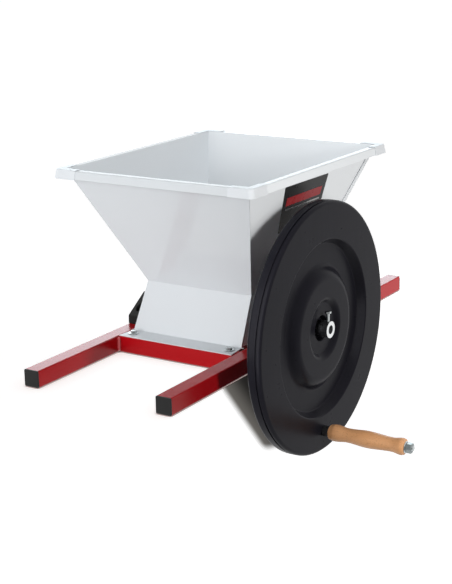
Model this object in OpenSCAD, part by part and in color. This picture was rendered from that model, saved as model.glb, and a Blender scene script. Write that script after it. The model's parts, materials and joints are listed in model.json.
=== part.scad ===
// Hand-cranked grape crusher: a sheet hopper over two geared, lobed rollers,
// carried on two long square tubes that lie across a vat, with a moulded flywheel
// and a loose wooden grip. X runs along the roller shafts with the flywheel at +X,
// Y runs along the tubes with the front at -Y, Z is up. The undersides of the tubes
// are at Z = 0, and the hopper stands centred over the origin.

/* [Frame] */
// Outside width of the square tubes
tube_side = 30; // [26:1:40]
// Wall of the square tubes
tube_wall = 2; // [1.5:0.5:3]
// Outside radius of the square tubes' corners
tube_r = 2.5; // [2:0.25:4]
// Clear distance between the two long tubes
leg_gap = 240; // [225:1:280]
// Length of each long tube, without its end caps
leg_len = 844; // [700:1:1000]
// How far the long tubes sit to the rear of the hopper's centre
leg_shift = 8; // [-20:1:20]
// Distance between the centre lines of the two cross tubes
cross_pitch = 344; // [336:1:380]
// Thickness of an end cap's face
cap_face = 3; // [2:0.5:5]
// Depth of an end cap's plug in the tube
cap_plug = 14; // [8:1:25]
// Bevel round an end cap's face
cap_bevel = 1; // [0.5:0.25:1.5]

/* [Hopper] */
// Thickness of the sheet steel
sheet = 1.2; // [0.8:0.1:2]
// Inside radius of the sheet's folds
bend_r = 1.5; // [1:0.25:2.5]
// Width of the laps by which the rear sheet holds the side sheets
lap_w = 12; // [8:0.5:20]
// Length of the mouth along X, inside the rim
mouth_x = 374; // [340:1:420]
// Length of the mouth along Y, inside the rim
mouth_y = 462; // [400:1:520]
// Height of the rim above the undersides of the tubes
rim_z = 339; // [300:1:380]
// Width of the flat top of the rim
rim_w = 14; // [12:1:20]
// Drop of the rim's turned-down lip
lip_drop = 18; // [12:1:24]
// How far the lip leans out over its drop
lip_flare = 3; // [0:0.5:6]
// Length of the neck along Y
neck_y = 202; // [190:1:220]
// Height of the neck above the undersides of the tubes
neck_z = 115; // [112:1:130]
// Length of the skirt's foot along Y
base_y = 290; // [270:1:305]
// How much wider the skirt is at its foot than at the neck, each side
skirt_taper = 4; // [2:0.5:8]
// Strip of each throat plate that lies on the wall above the neck
throat_lap = 25; // [15:1:40]
// Length of a rim corner piece along each side
corner_len = 45; // [35:1:60]
// Drop of a rim corner piece
corner_drop = 20.5; // [19:0.5:26]
// Wall of a rim corner piece
corner_t = 1.2; // [1:0.1:2]
// Outside radius of a rim corner piece
corner_r = 10; // [6:0.5:12]
// Easing of a rim corner piece's upper edge
corner_ease = 0.8; // [0.4:0.1:1]

/* [Bearings] */
// Height of the shafts above the tops of the long tubes
shaft_h = 28; // [27:0.5:32]
// Diameter of both shafts
shaft_d = 16; // [14:0.5:18]
// Length of a bearing block at its foot
block_foot = 228; // [222:1:250]
// Length of a bearing block along its top
block_top = 126; // [122:1:140]
// Height of a bearing block
block_h = 49; // [46:0.5:56]
// Height of a bearing block's upright ends
block_end_h = 15.6; // [12:0.1:20]
// Rounding of a bearing block's upper edges
block_r = 5; // [2:0.5:8]
// Wall of a bearing bush
bush_wall = 3; // [2:0.5:4]
// Diameter of a bush's collar
bush_collar_d = 28; // [26:0.5:32]
// Thickness of a bush's collar
bush_collar_t = 2; // [1.5:0.25:3]
// Thickness of a retaining ring
ring_t = 1.2; // [1:0.1:1.6]
// Radial width of a retaining ring
ring_w = 4; // [3:0.25:5]
// Depth of a retaining ring's groove in the shaft
ring_groove = 0.8; // [0.5:0.1:1]
// Shaft left beyond a retaining ring
shaft_tail = 4; // [2:0.5:8]

/* [Rollers] */
// Distance between the two shafts
roller_pitch = 100; // [96:1:104]
// Gap between the rollers' middle circles
nip_gap = 7; // [6:0.5:10]
// Lobes on each roller
lobe_count = 6; // [5:1:7]
// Height of a lobe above and below the middle circle
lobe_rise = 5; // [3:0.5:6]
// Diameter of the cored holes along a roller
core_d = 14; // [8:1:16]
// Distance of the cored holes from the roller's axis
core_r = 33; // [30:0.5:34]
// Width and height of the shaft keys
key_side = 5; // [4:0.5:6]
// Depth of a key in its shaft
key_depth = 3; // [2.5:0.25:3.5]
// Length of the key under a roller
roller_key_len = 60; // [40:1:120]
// Diameter of the set screw in a roller
roller_screw_d = 8; // [6:1:10]
// Length of the set screw in a roller
roller_screw_len = 20; // [12:1:26]
// Distance of that set screw from the roller's left end
roller_screw_in = 20; // [12:1:40]

/* [Gears] */
// Teeth on each gear
gear_teeth = 20; // [16:2:24]
// Width of the toothed rim
gear_w = 18; // [14:1:22]
// Thickness of the web between the rim and the hub
web_t = 8; // [6:1:12]
// Inside radius of the toothed rim
gear_rim_r = 37; // [35:0.5:38]
// Diameter of the hub
gear_hub_d = 38; // [34:1:42]
// Length that the hub stands out at each side of the rim
gear_hub_out = 4; // [3:0.5:6]
// Holes in the web
web_hole_count = 6; // [4:1:8]
// Diameter of the holes in the web
web_hole_d = 12; // [8:0.5:13]
// Pressure angle of the teeth
pressure_angle = 20; // [18:0.5:24]

/* [Flywheel] */
// Diameter of the flywheel
wheel_d = 454; // [430:1:480]
// Thickness of the flywheel at its rim
wheel_t = 27; // [24:1:34]
// Distance from the right tube to the flywheel's back
wheel_gap = 54; // [52:1:70]
// Rounding of the rim's edges
wheel_edge_r = 6; // [3:0.5:9]
// Radius where the flat outer ring ends
outer_ring_r = 160; // [156:1:165]
// Outside radius of the groove's floor
groove_out_r = 151; // [144:1:153]
// Inside radius of the groove's floor
groove_in_r = 111; // [107:1:116]
// Radius of the raised middle
plateau_r = 97; // [90:1:101]
// Depth of the groove in the front face
groove_depth = 16; // [12:0.5:17]
// Depth of the groove in the back face
back_groove_depth = 4; // [3:0.5:5]
// Radius of the dish round the hub
dish_r = 54; // [50:0.5:60]
// Radius of the dish's floor
dish_floor_r = 46; // [42:0.5:48]
// Depth of the dish
dish_depth = 8; // [5:0.5:10]
// Radius of the well round the hub sleeve
well_r = 23; // [20:0.5:26]
// Depth of the well below the front face
well_depth = 19; // [15:0.5:20]
// Rounding of the flywheel's moulded edges
mould_r = 3; // [1:0.5:4]
// Radius of the boss on the back
boss_r = 34; // [32:0.5:40]
// Height of the boss on the back
boss_h = 12; // [8:0.5:16]
// Outside diameter of the hub sleeve
sleeve_d = 30; // [27:0.5:34]
// Length of the hub sleeve beyond the flywheel's front
sleeve_out = 10.5; // [9:0.5:16]
// How far the shaft's end lies inside the hub sleeve
shaft_recess = 4; // [1:0.5:6]
// Diameter of the flange on the hub sleeve
sleeve_flange_d = 62; // [58:0.5:66]
// Thickness of the flange on the hub sleeve
sleeve_flange_t = 4; // [3:0.5:6]
// Screws through the flange
hub_screw_count = 3; // [3:1:6]
// Diameter of those screws
hub_screw_d = 6; // [5:1:6]
// Distance of those screws from the axis
hub_screw_r = 23; // [22:0.5:25]
// Length of those screws under the head
hub_screw_len = 16; // [12:1:18]
// Diameter of the set bolt in the hub sleeve
set_bolt_d = 6; // [5:1:6]
// Distance of the set bolt from the sleeve's front end
set_bolt_in = 5.5; // [5:0.5:7]
// Length of the set bolt under its head
set_bolt_len = 21; // [16:0.5:26]

/* [Handle] */
// Distance of the handle from the flywheel's axis
handle_r = 189.5; // [170:0.5:205]
// Angle of the handle round the axis, from the rear
handle_angle = -91.5; // [-180:0.5:180]
// Diameter of the handle bolt
handle_bolt_d = 10; // [8:1:12]
// Length of the wooden grip
grip_len = 148; // [130:1:165]
// Radius of the grip's three swellings
grip_swell_r = 15.4; // [14:0.1:17]
// Radius of the grip's two waists
grip_waist_r = 12.9; // [11.5:0.1:13.5]
// Radius of the grip's flat ends
grip_end_r = 10.8; // [10:0.1:11.5]
// Height of the nut against the flywheel
base_nut_h = 10; // [8:0.5:14]
// Height of the nut at the free end
end_nut_h = 10; // [8:0.5:12]
// Diameter of the handle's washers
handle_washer_d = 21; // [20:0.5:24]
// Thickness of the handle's washers
handle_washer_t = 2; // [1.5:0.25:3]
// Bolt left beyond the nut at the free end
handle_bolt_tail = 3; // [1:0.5:6]

/* [Fasteners] */
// Diameter of the bolts that hold the hopper
hopper_bolt_d = 6; // [5:1:8]
// Length of those bolts under the head
hopper_bolt_len = 14; // [12:1:20]
// Distance of those bolts from the middle along X
hopper_bolt_x = 102; // [90:1:105]
// Distance of those bolts from the inner face of the cross tube
hopper_bolt_in = 8; // [7:0.5:15]
// Diameter of the hopper's washers
hopper_washer_d = 20; // [16:0.5:22]
// Thickness of the hopper's washers
hopper_washer_t = 1.6; // [1:0.2:2]
// Diameter of the bolts that hold the bearing blocks
block_bolt_d = 8; // [6:1:8]
// Length of those bolts under the head
block_bolt_len = 22; // [20:1:26]
// Distance of those bolts from the block's ends
block_bolt_in = 19; // [17:0.5:22]
// Height of the seat for those bolts above the block's foot
block_seat_h = 9; // [8:0.5:11]
// Diameter of the well for those bolts
block_seat_d = 18; // [17:0.5:20]

/* [Clearances] */
// Radial play of a shaft in its bush, or of the grip on its bolt
run_play = 0.06; // [0.02:0.01:0.1]
// Radial play of a piece that is set fast on another
seat_play = 0.03; // [0.01:0.01:0.05]
// Radial play of a bolt in its hole
hole_play = 0.3; // [0.1:0.05:0.5]
// Play of an end cap's plug in the tube, each side
cap_play = 0.15; // [0.05:0.05:0.3]
// Play of a key in its slot, each side
key_play = 0.05; // [0.02:0.01:0.1]
// Play along a shaft or the handle bolt
end_play = 0.4; // [0.3:0.05:0.8]
// Gap between the skirt and the long tubes
skirt_gap = 5; // [4:0.5:8]
// Gap between the hopper's flange and the long tubes
flange_gap = 0.6; // [0.4:0.1:2]
// Setback of that flange from the cross tube's outer face
flange_setback = 1; // [0:0.5:4]
// Gap between the rollers and the hopper's sides
roller_end_gap = 4; // [3:0.5:6]
// Gap between a throat plate and its roller's lobes
throat_gap = 5; // [4:0.5:8]
// Gap round a shaft where it passes through the hopper's side
notch_gap = 5; // [4:0.5:6]
// Gap between the teeth of the two gears
backlash = 0.5; // [0.4:0.05:0.8]

/* [Hidden] */
$fn = 64;
HULL_FN = 32;
ARC_STEPS = 6;
LOBE_STEPS = 20;
FLANK_STEPS = 4;
GRIP_STEPS = 6;
EPS = 0.5;
SLICE = 0.01;

SIDES = [-1, 1];

// Hexagon sizes of common bolts: width across flats and head height for a thread
function hex_flats(d) = d < 7 ? d + 4 : d < 9 ? d + 5 : d + 7;
function head_h(d) = round(d * 0.66 * 10) / 10;

// Frame
leg_in = leg_gap / 2;
leg_out = leg_in + tube_side;
leg_mid = leg_in + tube_side / 2;
cross_y = cross_pitch / 2;

// Shafts, blocks and rollers
shaft_z = tube_side + shaft_h;
shaft_y = roller_pitch / 2;
shaft_r = shaft_d / 2;
bush_bore_r = shaft_r + run_play;
bush_r = bush_bore_r + bush_wall;
block_bolt_y = block_foot / 2 - block_bolt_in;
roller_mid_r = (roller_pitch - nip_gap) / 2;
roller_out_r = roller_mid_r + lobe_rise;
key_bottom = shaft_r - key_depth;
key_top = key_bottom + key_side;

// Hopper
base_x = leg_gap - 2 * skirt_gap - 2 * sheet;
neck_x = base_x - 2 * skirt_taper;
side_foot_z = tube_side + 2 * sheet;
flange_end = cross_y + tube_side / 2 - flange_setback;
flange_half = leg_in - flange_gap;
roller_len = neck_x - 2 * roller_end_gap;
hopper_bolt_y = cross_y - tube_side / 2 + hopper_bolt_in;
hopper_head_z = tube_side + sheet + hopper_washer_t;

// Gears
gear_module = roller_pitch / gear_teeth;
gear_len = gear_w + 2 * gear_hub_out;
gear_x = leg_out + bush_collar_t + end_play;
gear_end = gear_x + gear_len;

// Flywheel and handle
wheel_back = leg_out + wheel_gap;
wheel_front = wheel_back + wheel_t;
wheel_r = wheel_d / 2;
sleeve_r = sleeve_d / 2;
sleeve_back = gear_end + end_play;
sleeve_front = wheel_front + sleeve_out;
flange_front = wheel_back - boss_h;
set_bolt_x = sleeve_front - set_bolt_in;
handle_y = -shaft_y + handle_r * cos(handle_angle);
handle_z = shaft_z + handle_r * sin(handle_angle);
handle_bolt_r = handle_bolt_d / 2;
base_washer_x = wheel_front + base_nut_h;
grip_x = base_washer_x + handle_washer_t + end_play;
grip_end = grip_x + grip_len;
end_washer_x = grip_end + end_play;
end_nut_x = end_washer_x + handle_washer_t;
handle_bolt_end = end_nut_x + end_nut_h + handle_bolt_tail;

// Shaft ends and retaining rings
left_ring_x = -leg_out - bush_collar_t - end_play - ring_t;
shaft_left = left_ring_x - shaft_tail;
idler_ring_x = gear_end + end_play;
idler_right = idler_ring_x + ring_t + shaft_tail;
drive_right = sleeve_front - shaft_recess;

PAINT_WHITE = [0.88, 0.89, 0.9];
PAINT_RED = [0.64, 0.1, 0.13];
PLASTIC_BLACK = [0.15, 0.15, 0.16];
ZINC = [0.72, 0.74, 0.74];
STEEL = [0.6, 0.6, 0.62];
ALUMINIUM = [0.75, 0.76, 0.78];
CAST_IRON = [0.32, 0.33, 0.35];
BRONZE = [0.72, 0.55, 0.3];
BEECH = [0.78, 0.6, 0.45];

// Vector and outline helpers
function unit(v) = v / norm(v);
function left_normal(a, b) = let (u = unit(b - a)) [-u[1], u[0]];
function at_z(a, b, z) = a[0] + (b[0] - a[0]) * (z - a[1]) / (b[1] - a[1]);
function turn_back(a) = a > 180 ? a - 360 : a < -180 ? a + 360 : a;
function flip(pts) = [for (i = [len(pts) - 1:-1:0]) [-pts[i][0], pts[i][1]]];

// A point of a folded sheet's other face, with a mitre at each fold
function other_face(pts, i, t) =
    i == 0 ? pts[0] + t * left_normal(pts[0], pts[1]) :
    i == len(pts) - 1 ? pts[i] + t * left_normal(pts[i - 1], pts[i]) :
    let (n0 = left_normal(pts[i - 1], pts[i]), n1 = left_normal(pts[i], pts[i + 1]))
    pts[i] + t * (n0 + n1) / (1 + n0 * n1);

// The outline of a folded sheet as [x, y, radius] points: its folds all turn left, so each one
// has the inside radius on the other face and the outside radius on the first
function fold_r(pts, i, r) = i == 0 || i == len(pts) - 1 ? 0 : r;
function strip(pts, t) = concat(
    [for (i = [0:len(pts) - 1]) concat(pts[i], fold_r(pts, i, bend_r + t))],
    [for (i = [len(pts) - 1:-1:0]) concat(other_face(pts, i, t), fold_r(pts, i, bend_r))]
);

// One corner of an outline as an arc of radius r
function arc_corner(a, p, b, r) =
    let (u = unit(a - p), v = unit(b - p), half = acos(u * v) / 2)
    let (c = p + unit(u + v) * r / sin(half), s = p + u * r / tan(half) - c)
    let (e = p + v * r / tan(half) - c, a0 = atan2(s[1], s[0]))
    let (sweep = turn_back(atan2(e[1], e[0]) - a0))
    [for (i = [0:ARC_STEPS]) c + r * [cos(a0 + sweep * i / ARC_STEPS), sin(a0 + sweep * i / ARC_STEPS)]];

// An outline of [x, y, radius] points with its corners rounded
function rounded(pts) =
    let (n = len(pts), xy = [for (p = pts) [p[0], p[1]]])
    [for (i = [0:n - 1], q = pts[i][2] == 0 ? [xy[i]]
        : arc_corner(xy[(i + n - 1) % n], xy[i], xy[(i + 1) % n], pts[i][2])) q];

// Placing helpers: profiles in the YZ plane drawn along X, and turned pieces along X
module along_x(x, len) {
    translate([x, 0, 0]) rotate([90, 0, 90]) linear_extrude(len) children();
}

module along_y(len) {
    rotate([90, 0, 0]) linear_extrude(len, center = true) children();
}

module rod_x(x, len, r) {
    translate([x, 0, 0]) rotate([0, 90, 0]) cylinder(h = len, r = r);
}

module hex(flats, h) {
    cylinder(h = h, d = flats / cos(30), $fn = 6);
}

// Hexagon bolt along -Z, with the underside of its head at the origin
module hex_bolt(d, len) {
    hex(hex_flats(d), head_h(d));
    translate([0, 0, -len]) cylinder(h = len + EPS, d = d);
}

// A hexagon nut or plain washer along +Z, bored for its bolt
module bored(d, h) {
    difference() {
        children();
        translate([0, 0, -EPS]) cylinder(h = h + 2 * EPS, r = d / 2 + seat_play);
    }
}

// Frame tubes
function square_outline(side, r) =
    rounded([for (c = [[-1, -1], [1, -1], [1, 1], [-1, 1]]) concat(c * side / 2, r)]);

module square_tube(len) {
    inside = tube_side - 2 * tube_wall;
    translate([0, 0, tube_side / 2]) along_y(len) difference() {
        polygon(square_outline(tube_side, tube_r));
        polygon(square_outline(inside, max(tube_r - tube_wall, tube_wall / 4)));
    }
}

module top_hole(x, y, d) {
    translate([x, y, tube_side - tube_wall - EPS]) cylinder(h = tube_wall + 2 * EPS, r = d / 2 + hole_play);
}

module leg(sx) {
    color(PAINT_RED) difference() {
        translate([sx * leg_mid, leg_shift, 0]) square_tube(leg_len);
        for (sy = SIDES) top_hole(sx * leg_mid, sy * block_bolt_y, block_bolt_d);
    }
}

module cross_tube(sy) {
    color(PAINT_RED) difference() {
        translate([0, sy * cross_y, 0]) rotate([0, 0, 90]) square_tube(leg_gap);
        for (sx = SIDES) top_hole(sx * hopper_bolt_x, sy * hopper_bolt_y, hopper_bolt_d);
    }
}

module left_leg() { leg(-1); }
module right_leg() { leg(1); }
module front_cross_tube() { cross_tube(-1); }
module rear_cross_tube() { cross_tube(1); }

// End cap: a bevelled face on a plug that fits the tube
module end_cap(sx, sy) {
    plug = tube_side - 2 * tube_wall - 2 * cap_play;
    small = tube_side - 2 * cap_bevel;
    color(PLASTIC_BLACK) translate([sx * leg_mid, leg_shift + sy * leg_len / 2, tube_side / 2])
        rotate([-90 * sy, 0, 0]) {
            hull() {
                linear_extrude(cap_face - cap_bevel) polygon(square_outline(tube_side, tube_r));
                linear_extrude(cap_face) polygon(square_outline(small, tube_r));
            }
            translate([-plug / 2, -plug / 2, -cap_plug]) cube([plug, plug, cap_plug + EPS]);
        }
}

module front_left_cap() { end_cap(-1, -1); }
module front_right_cap() { end_cap(1, -1); }
module rear_left_cap() { end_cap(-1, 1); }
module rear_right_cap() { end_cap(1, 1); }

// Hopper sheets. Each profile follows the sheet from the lip over the rim and down the
// wall to its foot, as [distance from the middle, height]; the other face is outside it.
lip_z = rim_z - lip_drop;
end_profile = [
    [mouth_y / 2 + rim_w + lip_flare, lip_z],
    [mouth_y / 2 + rim_w, rim_z],
    [mouth_y / 2, rim_z],
    [neck_y / 2, neck_z],
    [base_y / 2, tube_side],
    [flange_end, tube_side]
];
side_profile = [
    [mouth_x / 2 + rim_w + lip_flare, lip_z],
    [mouth_x / 2 + rim_w, rim_z],
    [mouth_x / 2, rim_z],
    [neck_x / 2, neck_z],
    [base_x / 2, side_foot_z]
];
RIM = 2;
NECK = 3;
FOOT = 4;

// Width of an end sheet: the full rim between its corner pieces, then out past the side sheets' inner
// faces by the given depth
function end_half_outline(depth) =
    let (wall_top = other_face(side_profile, RIM, depth), wall_neck = other_face(side_profile, NECK, depth))
    let (wall_foot = other_face(side_profile, FOOT, depth), rim_half = mouth_x / 2 + rim_w - corner_r)
    let (rim_foot = lip_z - sheet)
    [
        [rim_half, rim_z + EPS],
        [rim_half, rim_foot],
        [at_z(wall_top, wall_neck, rim_foot), rim_foot],
        wall_neck,
        wall_foot,
        [flange_half, tube_side + sheet],
        [flange_half, tube_side - EPS]
    ];

// The flange's ends run out from the skirt's foot to its full width at the front
module flange_end_cuts() {
    foot = base_x / 2 + sheet;
    for (sx = SIDES) translate([0, 0, tube_side - EPS]) linear_extrude(sheet + 2 * EPS)
        polygon([[sx * foot, base_y / 2], [sx * flange_half, flange_end], [sx * leg_in, flange_end],
            [sx * leg_in, base_y / 2]]);
}

module end_sheet(depth) {
    half = end_half_outline(depth);
    difference() {
        intersection() {
            along_x(-mouth_x, 2 * mouth_x) polygon(rounded(strip(end_profile, sheet)));
            along_y(2 * mouth_y) polygon(concat(half, flip(half)));
        }
        flange_end_cuts();
        for (sx = SIDES) translate([sx * hopper_bolt_x, hopper_bolt_y, tube_side - EPS])
            cylinder(h = sheet + 2 * EPS, r = hopper_bolt_d / 2 + hole_play);
    }
}

// A lap: a strip folded round from the end sheet onto the outside of a side sheet, open at the neck
function lap_band(a, b, low, high) =
    let (n = left_normal(a, b))
    let (a0 = a + sheet * n, b0 = b + sheet * n, a1 = a - lap_w * n, b1 = b - lap_w * n)
    [
        [at_z(a0, b0, high), high], [at_z(a0, b0, low), low],
        [at_z(a1, b1, low), low], [at_z(a1, b1, high), high]
    ];

module side_laps() {
    outer = [for (i = [RIM, NECK, FOOT]) other_face(side_profile, i, sheet)];
    lap_face = [for (i = [FOOT, NECK, RIM]) other_face(side_profile, i, 2 * sheet)];
    intersection() {
        along_y(2 * mouth_y) polygon(concat(outer, lap_face));
        union() {
            along_x(0, mouth_x)
                polygon(lap_band(end_profile[RIM], end_profile[NECK], neck_z + lap_w, lip_z));
            along_x(0, mouth_x) polygon(lap_band(end_profile[NECK], end_profile[FOOT],
                side_foot_z + sheet, neck_z - lap_w / 2));
        }
    }
}

// A slot in the side sheet that lets the shaft in from below
module shaft_notch(sy) {
    r = shaft_r + notch_gap;
    translate([0, sy * shaft_y, shaft_z]) {
        rod_x(0, leg_in, r);
        translate([0, -r, -shaft_z]) cube([leg_in, 2 * r, shaft_z]);
    }
}

module side_sheet() {
    half = rounded([
        [mouth_y / 2, rim_z + EPS, 0],
        concat(end_profile[RIM], 0),
        concat(end_profile[NECK], bend_r + sheet),
        [at_z(end_profile[NECK], end_profile[FOOT], side_foot_z), side_foot_z, 0],
        [at_z(end_profile[NECK], end_profile[FOOT], side_foot_z), side_foot_z - EPS, 0]
    ]);
    color(PAINT_WHITE) difference() {
        intersection() {
            along_y(2 * mouth_y) polygon(rounded(strip(side_profile, sheet)));
            along_x(0, mouth_x) polygon(concat(half, flip(half)));
        }
        for (sy = SIDES) shaft_notch(sy);
    }
}

module hopper_front_sheet() { color(PAINT_WHITE) mirror([0, 1, 0]) end_sheet(sheet); }
module hopper_rear_sheet() {
    color(PAINT_WHITE) {
        end_sheet(2 * sheet);
        for (sx = SIDES) mirror([sx < 0 ? 1 : 0, 0, 0]) side_laps();
    }
}
module hopper_left_sheet() { mirror([1, 0, 0]) side_sheet(); }
module hopper_right_sheet() { side_sheet(); }

// Rim corner piece: a cap over the open corner of the lip, leaning out with it
function flare_at(z) = lip_flare * (rim_z - z) / lip_drop;

module rim_plate(z, grow, r) {
    x = mouth_x / 2 + rim_w + flare_at(z) + grow - r;
    y = mouth_y / 2 + rim_w + flare_at(z) + grow - r;
    translate([0, 0, z]) for (sx = SIDES, sy = SIDES) translate([sx * x, sy * y, 0])
        cylinder(h = SLICE, r = r, $fn = HULL_FN);
}

module rim_corner(sx, sy) {
    top_z = rim_z + corner_t;
    low_z = rim_z - corner_drop;
    inner_r = corner_r - corner_t;
    x0 = mouth_x / 2 + rim_w - corner_len;
    y0 = mouth_y / 2 + rim_w - corner_len;
    color(PAINT_WHITE) mirror([sx < 0 ? 1 : 0, 0, 0]) mirror([0, sy < 0 ? 1 : 0, 0]) intersection() {
        difference() {
            hull() {
                rim_plate(top_z - SLICE, corner_t - corner_ease, corner_r - corner_ease);
                rim_plate(top_z - corner_ease, corner_t, corner_r);
                rim_plate(low_z, corner_t, corner_r);
            }
            hull() {
                rim_plate(rim_z - SLICE, 0, inner_r);
                rim_plate(low_z - EPS, 0, inner_r);
            }
            translate([-mouth_x / 2, -mouth_y / 2, low_z - EPS])
                cube([mouth_x, mouth_y, lip_drop + 2 * corner_drop]);
        }
        translate([x0, y0, low_z - EPS]) cube([2 * corner_len, 2 * corner_len, 2 * corner_drop]);
    }
}

module front_left_rim_corner() { rim_corner(-1, -1); }
module front_right_rim_corner() { rim_corner(1, -1); }
module rear_left_rim_corner() { rim_corner(-1, 1); }
module rear_right_rim_corner() { rim_corner(1, 1); }

// Throat plate: a strip on the inside of an end wall that runs on past the neck,
// straight down to a set gap from the roller's lobes
module throat_plate() {
    rim = end_profile[RIM];
    neck = end_profile[NECK];
    down = unit(neck - rim);
    inward = -left_normal(rim, neck);
    to_neck = neck + sheet * inward - [shaft_y, shaft_z];
    b = to_neck * down;
    reach = -b - sqrt(b * b - to_neck * to_neck + pow(roller_out_r + throat_gap, 2));
    top = neck - throat_lap * down;
    tip = neck + reach * down;
    color(PAINT_WHITE) along_x(-neck_x / 2 + sheet / 2, neck_x - sheet)
        polygon([top, tip, tip + sheet * inward, top + sheet * inward]);
}

module front_throat_plate() { mirror([0, 1, 0]) throat_plate(); }
module rear_throat_plate() { throat_plate(); }

// Bolts that hold the hopper's flanges on the cross tubes
module at_hopper_bolts(z) {
    for (sx = SIDES, sy = SIDES) translate([sx * hopper_bolt_x, sy * hopper_bolt_y, z]) children();
}

module hopper_bolts() {
    color(ZINC) at_hopper_bolts(hopper_head_z) hex_bolt(hopper_bolt_d, hopper_bolt_len);
}

module hopper_washers() {
    color(ZINC) at_hopper_bolts(tube_side + sheet) bored(hopper_bolt_d, hopper_washer_t)
        cylinder(h = hopper_washer_t, d = hopper_washer_d);
}

module hopper_weld_nuts() {
    h = head_h(hopper_bolt_d);
    color(ZINC) at_hopper_bolts(tube_side - tube_wall - h) bored(hopper_bolt_d, h)
        hex(hex_flats(hopper_bolt_d), h);
}

// Bearing block: a low trapezoid on the tube, bored for two bushes
module bearing_block(sx) {
    foot = block_foot / 2;
    top = block_top / 2;
    outline = rounded([
        [-foot, 0, 0], [foot, 0, 0], [foot, block_end_h, block_r], [top, block_h, block_r],
        [-top, block_h, block_r], [-foot, block_end_h, block_r]
    ]);
    color(PLASTIC_BLACK) difference() {
        translate([0, 0, tube_side]) along_x(sx * leg_mid - tube_side / 2, tube_side) polygon(outline);
        for (sy = SIDES) {
            translate([0, sy * shaft_y, shaft_z])
                rod_x(sx * leg_mid - tube_side / 2 - EPS, tube_side + 2 * EPS, bush_r + seat_play);
            translate([sx * leg_mid, sy * block_bolt_y, tube_side]) {
                translate([0, 0, -EPS]) cylinder(h = block_h, r = block_bolt_d / 2 + hole_play);
                translate([0, 0, block_seat_h]) cylinder(h = block_h, d = block_seat_d);
            }
        }
    }
}

module left_bearing_block() { bearing_block(-1); }
module right_bearing_block() { bearing_block(1); }

module at_block_bolts(z) {
    for (sx = SIDES, sy = SIDES) translate([sx * leg_mid, sy * block_bolt_y, z]) children();
}

module block_bolts() {
    color(ZINC) at_block_bolts(tube_side + block_seat_h) hex_bolt(block_bolt_d, block_bolt_len);
}

module block_weld_nuts() {
    h = head_h(block_bolt_d);
    color(ZINC) at_block_bolts(tube_side - tube_wall - h) bored(block_bolt_d, h)
        hex(hex_flats(block_bolt_d), h);
}

// Collared bush, its collar on the block's outer face
module bush(sx, sy) {
    color(BRONZE) translate([0, sy * shaft_y, shaft_z]) mirror([sx < 0 ? 1 : 0, 0, 0]) difference() {
        union() {
            rod_x(leg_in, tube_side + EPS, bush_r);
            rod_x(leg_out, bush_collar_t, bush_collar_d / 2);
        }
        rod_x(leg_in - EPS, tube_side + bush_collar_t + 2 * EPS, bush_bore_r);
    }
}

module left_front_bush() { bush(-1, -1); }
module left_rear_bush() { bush(-1, 1); }
module right_front_bush() { bush(1, -1); }
module right_rear_bush() { bush(1, 1); }

// Places of the two shafts; the idler's lobes and teeth are set half a pitch round
module on_drive_axis() {
    translate([0, -shaft_y, shaft_z]) children();
}

module on_idler_axis() {
    translate([0, shaft_y, shaft_z]) children();
}

function idler_turn(count) = 180 + 180 / count;

module key_slot(x, len, grow) {
    translate([x - grow, -key_side / 2 - grow, key_bottom - grow])
        cube([len + 2 * grow, key_side + 2 * grow, key_side + 2 * grow]);
}

// A shaft with its two key slots and the grooves of its retaining rings
module shaft(right_x, turns, grooves) {
    groove_r = shaft_r - ring_groove;
    difference() {
        rod_x(shaft_left, right_x - shaft_left, shaft_r);
        rotate([turns[0], 0, 0]) key_slot(-roller_key_len / 2, roller_key_len, key_play);
        rotate([turns[1], 0, 0]) key_slot(gear_x, gear_len, key_play);
        for (x = grooves) difference() {
            rod_x(x - key_play, ring_t + 2 * key_play, shaft_r + EPS);
            rod_x(x - EPS, ring_t + 2 * EPS, groove_r);
        }
    }
}

module keys(turns) {
    rotate([turns[0], 0, 0]) key_slot(-roller_key_len / 2, roller_key_len, 0);
    rotate([turns[1], 0, 0]) key_slot(gear_x, gear_len, 0);
}

// Retaining ring, open at the top
module retaining_ring(x) {
    inner = shaft_r - ring_groove + seat_play;
    gap = ring_w;
    difference() {
        rod_x(x, ring_t, inner + ring_w);
        rod_x(x - EPS, ring_t + 2 * EPS, inner);
        translate([x - EPS, -gap / 2, 0]) cube([ring_t + 2 * EPS, gap, shaft_d]);
    }
}

// Roller: a wavy outline drawn along the shaft, with a cored hole in each lobe
module roller() {
    steps = lobe_count * LOBE_STEPS;
    screw_x = -roller_len / 2 + roller_screw_in;
    valley = lobe_count % 2 == 0 ? 270 : 270 + 180 / lobe_count;
    difference() {
        along_x(-roller_len / 2, roller_len) difference() {
            polygon([for (i = [0:steps - 1]) let (a = 360 * i / steps)
                (roller_mid_r + lobe_rise * cos(lobe_count * a)) * [cos(a), sin(a)]]);
            for (i = [0:lobe_count - 1]) rotate(360 * i / lobe_count) translate([core_r, 0])
                circle(d = core_d);
        }
        rod_x(-roller_len / 2 - EPS, roller_len + 2 * EPS, shaft_r + seat_play);
        key_slot(-roller_len / 2 - EPS, roller_len + 2 * EPS, key_play);
        rotate([valley, 0, 0]) translate([screw_x, 0, 0]) rotate([-90, 0, 0])
            cylinder(h = 2 * roller_mid_r, d = roller_screw_d + 2 * seat_play);
    }
}

module roller_screw() {
    screw_x = -roller_len / 2 + roller_screw_in;
    valley = lobe_count % 2 == 0 ? 270 : 270 + 180 / lobe_count;
    rotate([valley, 0, 0]) translate([screw_x, 0, 0]) rotate([-90, 0, 0])
        translate([0, 0, shaft_r + key_play]) cylinder(h = roller_screw_len, d = roller_screw_d);
}

// Spur gear with involute flanks, a dished web and a long hub
function involute(a) = tan(a) * 180 / PI - a;

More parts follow.
